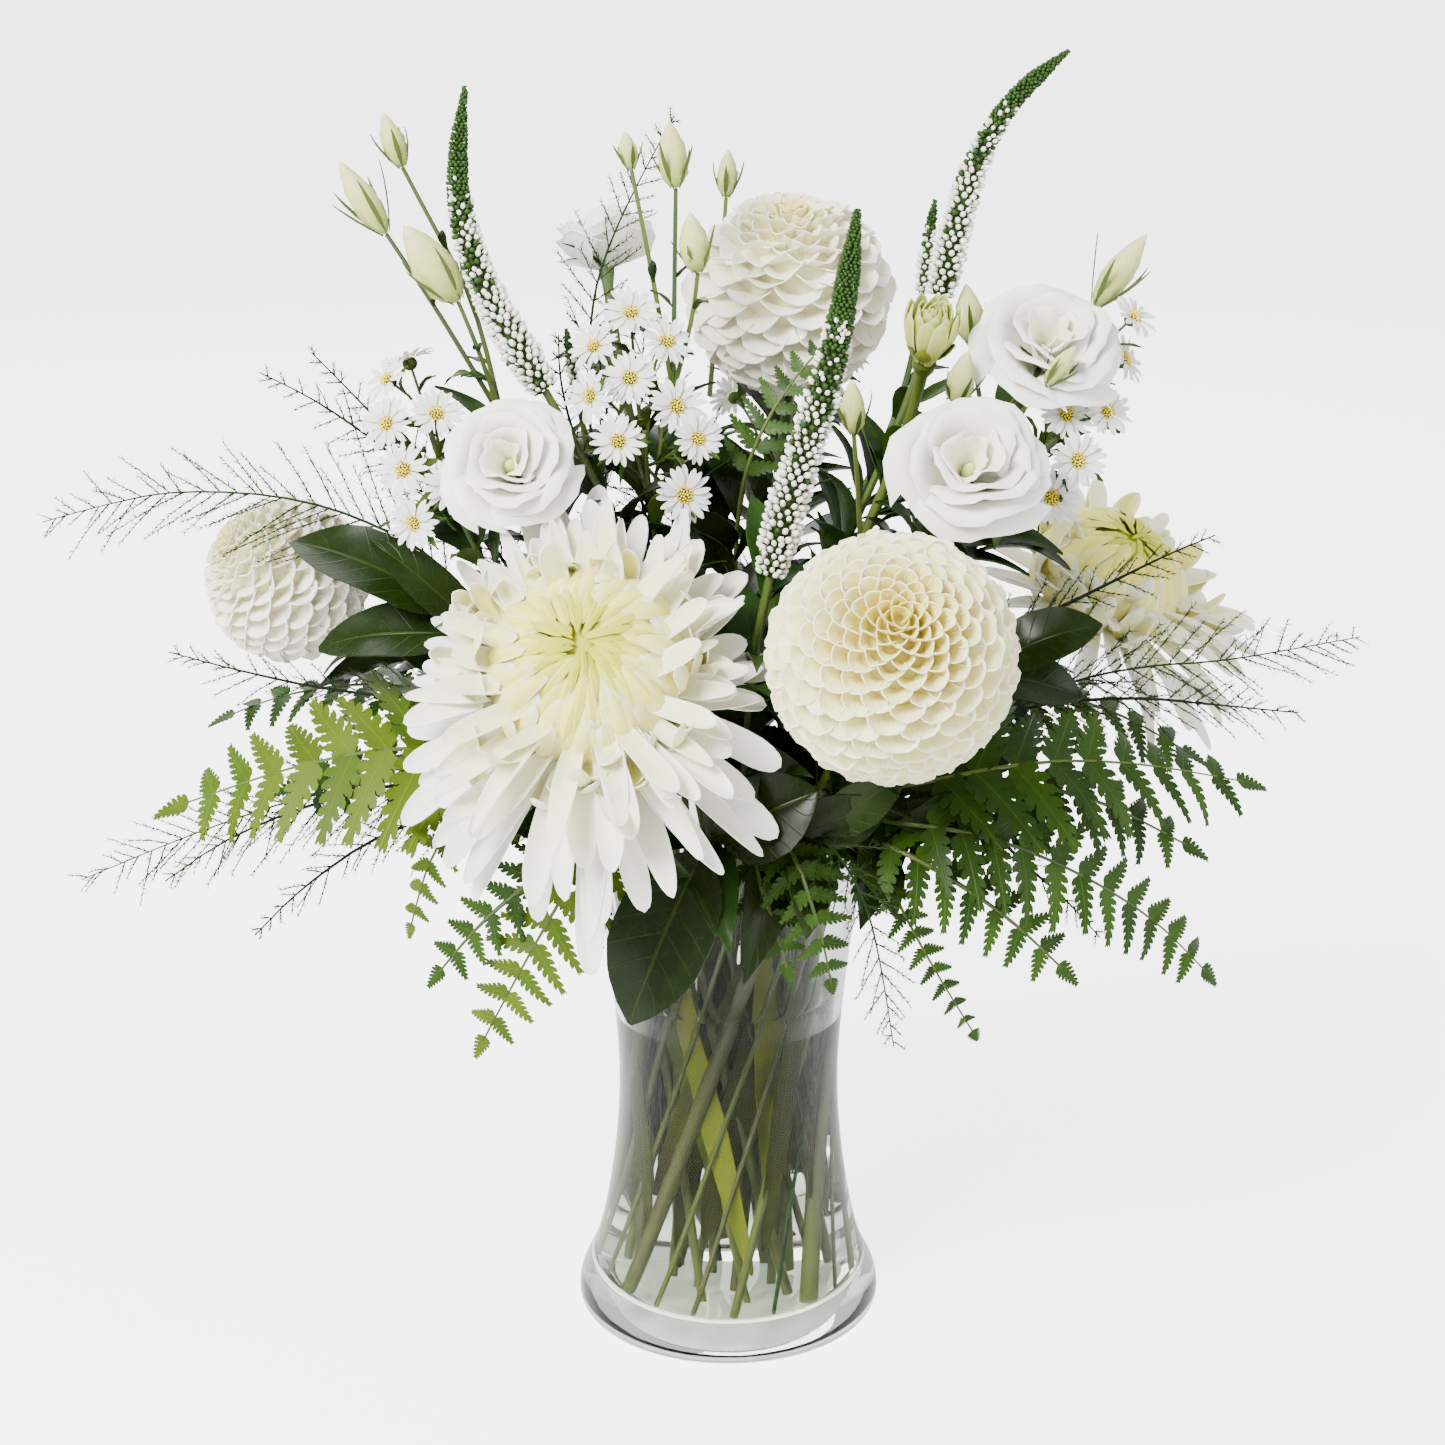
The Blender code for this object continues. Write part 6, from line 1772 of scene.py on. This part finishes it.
class BOUQUET_OT_spikes(bpy.types.Operator):
    """Build the white flower spikes bead by bead"""
    bl_idname = "bouquet.spikes"
    bl_label = "Flower spikes"

    def execute(self, context):
        bead = petal_finish("spike bud", *colours_of("#f2f1ec", "#eceadb", "#d5d7a6", "#f7f7f2"))
        calyx = leaf_finish("spike calyx", *colours_of("#192a0c", "#304618", "#485a25"), 0.55)
        green = petal_finish("green spike bud", *colours_of("#385719", "#2e4f18", "#284514", "#a9bf7c"), 0.1)
        finishes = [bead, calyx, green]
        for seed, (name, (route, widths)) in enumerate(SPIKES.items(), start=70):
            spike(route, widths, seed).piece(name, finishes, [name], "white_spike")
        for seed, (name, (points, wide)) in enumerate(SMALL_SPIKES.items(), start=80):
            radius, route = STEMS[name]
            widths = (wide * 0.8, wide, wide * 0.9, wide * 0.6, 0.8)
            pile = spike([route[-1]] + points, widths, seed, 1.3)
            spine = stem_line(route)
            add_tube(pile, spine, radius, 8, 0.4, 0.0, 3)
            rng = np.random.default_rng(seed)
            small_leaves(pile, above(spine, 225.0), 8, 36.0, 8.0, rng, petal_blank(4, 8), 4, 0.1, 0.9)
            pile.piece(name, finishes + [stalk_finish(), fresh_leaf()], [name], "green_spike")
        return {"FINISHED"}


class BOUQUET_OT_asters(bpy.types.Operator):
    """Build the four sprays of small asters"""
    bl_idname = "bouquet.asters"
    bl_label = "Aster sprays"

    def execute(self, context):
        ray = petal_finish("aster ray", *colours_of("#f4f4f4", "#ececdc", "#d7d98f", "#fafafa"), 0.3)
        disc = disc_finish("aster disc", *colours_of("#e6bc0a", "#ffea30"))
        cup = leaf_finish("aster cup", *colours_of("#21380d", "#3e5216", "#576722"), 0.5)
        for seed, name in enumerate(ASTERS, start=30):
            aster_spray(name, seed, [ray, disc, cup, stalk_finish()])
        return {"FINISHED"}


class BOUQUET_OT_twigs(bpy.types.Operator):
    """Build the leafy twigs with their large glossy leaves"""
    bl_idname = "bouquet.twigs"
    bl_label = "Broad leaves"

    def execute(self, context):
        look = context.scene.bouquet_colours
        glossy = leaf_finish("glossy broad leaf", look.leaf_dark, *colours_of("#192809", "#3a4a16"),
                             0.26, 8.0)
        for seed, name in enumerate(TWIGS, start=90):
            twig(name, seed, [glossy, stalk_finish()])
        return {"FINISHED"}


class BOUQUET_OT_ferns(bpy.types.Operator):
    """Build the fern fronds leaflet by leaflet"""
    bl_idname = "bouquet.ferns"
    bl_label = "Fern fronds"

    def execute(self, context):
        look = context.scene.bouquet_colours
        young = leaf_finish("young fern", look.fern_fresh, *colours_of("#4f630e", "#697620"), 0.5, 26.0)
        old = leaf_finish("grown fern", look.fern_deep, *colours_of("#2c490c", "#4b631a"), 0.42, 26.0)
        stalk = stalk_finish()
        for seed, name in enumerate(FERNS, start=100):
            face = young if name in PALE_FERNS else old
            frond(name, seed, [face, stalk], STEMS[name], FERNS[name], [name])
        for seed, (name, shape_of) in enumerate(FILL_FERNS.items(), start=160):
            frond(name, seed, [old, stalk], fill_stem(shape_of, 1.2), shape_of, [])
        return {"FINISHED"}


class BOUQUET_OT_asparagus(bpy.types.Operator):
    """Build the fine asparagus sprays needle by needle"""
    bl_idname = "bouquet.asparagus"
    bl_label = "Asparagus sprays"

    def execute(self, context):
        look = context.scene.bouquet_colours
        needle = leaf_finish("asparagus needle", look.asparagus, *colours_of("#1a2d0d", "#293a14"), 0.5)
        for seed, name in enumerate(ASPARAGUS, start=120):
            needle_spray(name, seed, [needle, needle], STEMS[name], ASPARAGUS[name], [name])
        for seed, (name, shape_of) in enumerate(FILL_SPRAYS.items(), start=180):
            needle_spray(name, seed, [needle, needle], fill_stem(shape_of, 0.9), shape_of, [])
        return {"FINISHED"}


class BOUQUET_OT_greenery(bpy.types.Operator):
    """Fill the bouquet between the blooms with dark leaves that stand on the stems"""
    bl_idname = "bouquet.greenery"
    bl_label = "Leaves between the blooms"

    def execute(self, context):
        look = context.scene.bouquet_colours
        rng = np.random.default_rng(140)
        collar, inner = Pile(), Pile()
        blank = petal_blank(4, 8)
        for name, (_, route) in STEMS.items():
            spine = stem_line(route)
            low = [p for p in spine if 221.0 < p[2] < 262.0] or [spine[-2], spine[-1]]
            small_leaves(collar, even_points(low, 20), 3, 52.0, 22.0, rng, blank, int(rng.integers(0, 2)),
                         0.1, 0.9, 0.95, True)
            high = [p for p in spine if 262.0 < p[2] < 372.0]
            if len(high) > 3 and name not in BARE_STEMS:
                small_leaves(inner, even_points(high, 20), 6, 50.0, 18.0, rng, blank, int(rng.integers(0, 2)),
                             0.0, 0.95, 0.8, True)
        dark = leaf_finish("shaded broad leaf", look.leaf_dark, *colours_of("#1d2d06", "#354410"), 0.3)
        mid = leaf_finish("filler leaf", *colours_of("#0e2604", "#203c0b", "#395215"), 0.4)
        collar.piece("collar_leaves", [dark, mid], (), "broad_leaf")
        inner.piece("inner_leaves", [dark, mid], (), "broad_leaf")
        return {"FINISHED"}


class BOUQUET_OT_vase_leaves(bpy.types.Operator):
    """Add the strap-like leaves that stand among the stems in the vase"""
    bl_idname = "bouquet.vase_leaves"
    bl_label = "Leaves in the vase"

    def execute(self, context):
        rng = np.random.default_rng(150)
        pile = Pile()
        blank = petal_blank(4, 16)
        straps = 32
        for i in range(straps):
            turn = i * GOLDEN_TURN + rng.normal(0, 0.15)
            lean = math.radians(rng.uniform(-46.0, 46.0))
            low = rng.uniform(22.0, 70.0)
            high = rng.uniform(150.0, 205.0)
            ring = (39.0, 30.0, 22.0)[i % 3]
            foot = round_axis(ring + rng.uniform(-2.0, 1.5), math.degrees(turn - lean), low)
            tip = round_axis(ring + rng.uniform(-4.0, 0.5), math.degrees(turn + lean), high)
            out = round_axis(1.0, math.degrees(turn), 0.0)
            shape = leaf_between(blank, tip, foot, rng.uniform(9.0, 15.0), out, POINTED, bow=0.0, fold=0.12,
                                 wave=0.5, seed=rng.uniform(0, 9), thickness=0.4)
            pile.lay(shape, blank, 0.0, rng.random(), int(i % 4 == 3))
        olive = leaf_finish("soaked leaf", *colours_of("#202402", "#393a05", "#545012"), 0.4, 3.0)
        fresh = leaf_finish("strap leaf", *colours_of("#3b4904", "#656714", "#767426"), 0.4, 3.0)
        pile.piece("vase_leaves", [olive, fresh], (), "broad_leaf")
        return {"FINISHED"}


class BOUQUET_OT_stage(bpy.types.Operator):
    """Lay the plain pale floor, set the soft lights and place the camera"""
    bl_idname = "bouquet.stage"
    bl_label = "Floor, lights and camera"

    def execute(self, context):
        select_only(None)
        bpy.ops.mesh.primitive_plane_add(size=40.0, location=(0.0, 0.0, 0.0))
        floor = context.object
        floor.name = "pale_floor"
        paper, tree, skin = new_finish("pale paper")
        coords = add_node(tree, "TexCoord").outputs["Object"]
        grain = add_node(tree, "TexNoise", inputs={"Vector": coords, "Scale": FLOOR_GRAINS, "Detail": 2.0})
        tone = add_node(tree, "Mix", grain, inputs={6: colour_of("#f4f4f5"), 7: colour_of("#f7f7f8")})
        # The floor glows for the camera only, so that it looks pale without lighting the vase from below.
        seen = add_node(tree, "LightPath").outputs["Is Camera Ray"]
        glow = add_node(tree, "MapRange", seen, 0.0, 1.0, 0.15, 3.0)
        set_inputs(tree, skin, {
            "Base Color": tone, "Roughness": 0.8, "Specular IOR Level": 0.1,
            "Emission Color": (0.995, 0.995, 1.0, 1.0), "Emission Strength": glow,
        })
        floor.data.materials.append(paper)

        world = bpy.data.worlds.new("soft room")
        world.use_nodes = True
        sky = world.node_tree.nodes["Background"]
        sky.inputs[0].default_value = (0.99, 0.995, 1.0, 1.0)
        sky.inputs[1].default_value = 1.0
        context.scene.world = world

        # Each light: its name, place in metres, width, power and colour.
        boxes = (
            ("key_light", (-0.9, -1.1, 1.5), 0.8, 100.0, (1.0, 0.985, 0.95)),
            ("side_light", (1.5, -0.5, 0.9), 1.0, 14.0, (0.99, 0.995, 1.0)),
            ("back_light", (-0.4, 1.6, 1.4), 1.4, 30.0, (1.0, 1.0, 1.0)),
        )
        aim = np.array((0.0, 0.0, 0.27))
        for name, spot, size, power, tint in boxes:
            lamp = bpy.data.lights.new(name, "AREA")
            lamp.shape = "SQUARE"
            lamp.size = size
            lamp.energy = power
            lamp.color = tint
            light = new_thing(name, lamp)
            away = np.array(spot) - aim
            light.location = spot
            light.rotation_euler = (math.acos(away[2] / np.linalg.norm(away)), 0.0,
                                    math.atan2(away[1], away[0]) + math.pi / 2)

        lens = bpy.data.cameras.new("view")
        lens.sensor_width = 36.0
        lens.lens = CAMERA_LENS
        lens.clip_start = 0.05
        lens.clip_end = 100.0
        camera = new_thing("view", lens)
        tilt = math.radians(CAMERA_HEIGHT_ANGLE)
        aim_x, aim_z = CAMERA_AIM
        camera.location = (aim_x * MM, -CAMERA_DISTANCE * math.cos(tilt) * MM,
                           (aim_z + CAMERA_DISTANCE * math.sin(tilt)) * MM)
        camera.rotation_euler = (math.pi / 2 - tilt, 0.0, 0.0)
        context.scene.camera = camera
        return {"FINISHED"}


class BOUQUET_PT_panel(bpy.types.Panel):
    """Lists the pieces of the bouquet"""
    bl_idname = "BOUQUET_PT_panel"
    bl_label = "Vase of flowers"
    bl_space_type = "VIEW_3D"
    bl_region_type = "UI"
    bl_category = "Bouquet"

    def draw(self, context):
        layout = self.layout
        for group in (context.scene.bouquet_sizes, context.scene.bouquet_colours):
            for key in group.bl_rna.properties.keys():
                if key not in ("rna_type", "name"):
                    layout.prop(group, key)
        for step in STEPS:
            layout.operator(step.bl_idname)


STEPS = (
    BOUQUET_OT_glass, BOUQUET_OT_water, BOUQUET_OT_stems, BOUQUET_OT_chrysanthemums, BOUQUET_OT_dahlias,
    BOUQUET_OT_dahlia_bud, BOUQUET_OT_lisianthus, BOUQUET_OT_lisianthus_buds, BOUQUET_OT_spikes,
    BOUQUET_OT_asters, BOUQUET_OT_twigs, BOUQUET_OT_ferns, BOUQUET_OT_asparagus, BOUQUET_OT_greenery,
    BOUQUET_OT_vase_leaves, BOUQUET_OT_stage,
)
CLASSES = (BouquetSizes, BouquetColours) + STEPS + (BOUQUET_PT_panel,)


def register():
    for each in CLASSES:
        bpy.utils.register_class(each)
    bpy.types.Scene.bouquet_sizes = bpy.props.PointerProperty(type=BouquetSizes)
    bpy.types.Scene.bouquet_colours = bpy.props.PointerProperty(type=BouquetColours)


def unregister():
    del bpy.types.Scene.bouquet_colours
    del bpy.types.Scene.bouquet_sizes
    for each in reversed(CLASSES):
        bpy.utils.unregister_class(each)


def main():
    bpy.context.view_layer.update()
    register()
    bpy.ops.bouquet.glass()
    bpy.ops.bouquet.water()
    bpy.ops.bouquet.stems()
    bpy.ops.bouquet.chrysanthemums()
    bpy.ops.bouquet.dahlias()
    bpy.ops.bouquet.dahlia_bud()
    bpy.ops.bouquet.lisianthus()
    bpy.ops.bouquet.lisianthus_buds()
    bpy.ops.bouquet.spikes()
    bpy.ops.bouquet.asters()
    bpy.ops.bouquet.twigs()
    bpy.ops.bouquet.ferns()
    bpy.ops.bouquet.asparagus()
    bpy.ops.bouquet.greenery()
    bpy.ops.bouquet.vase_leaves()
    bpy.ops.bouquet.stage()


if __name__ == "__main__":
    main()
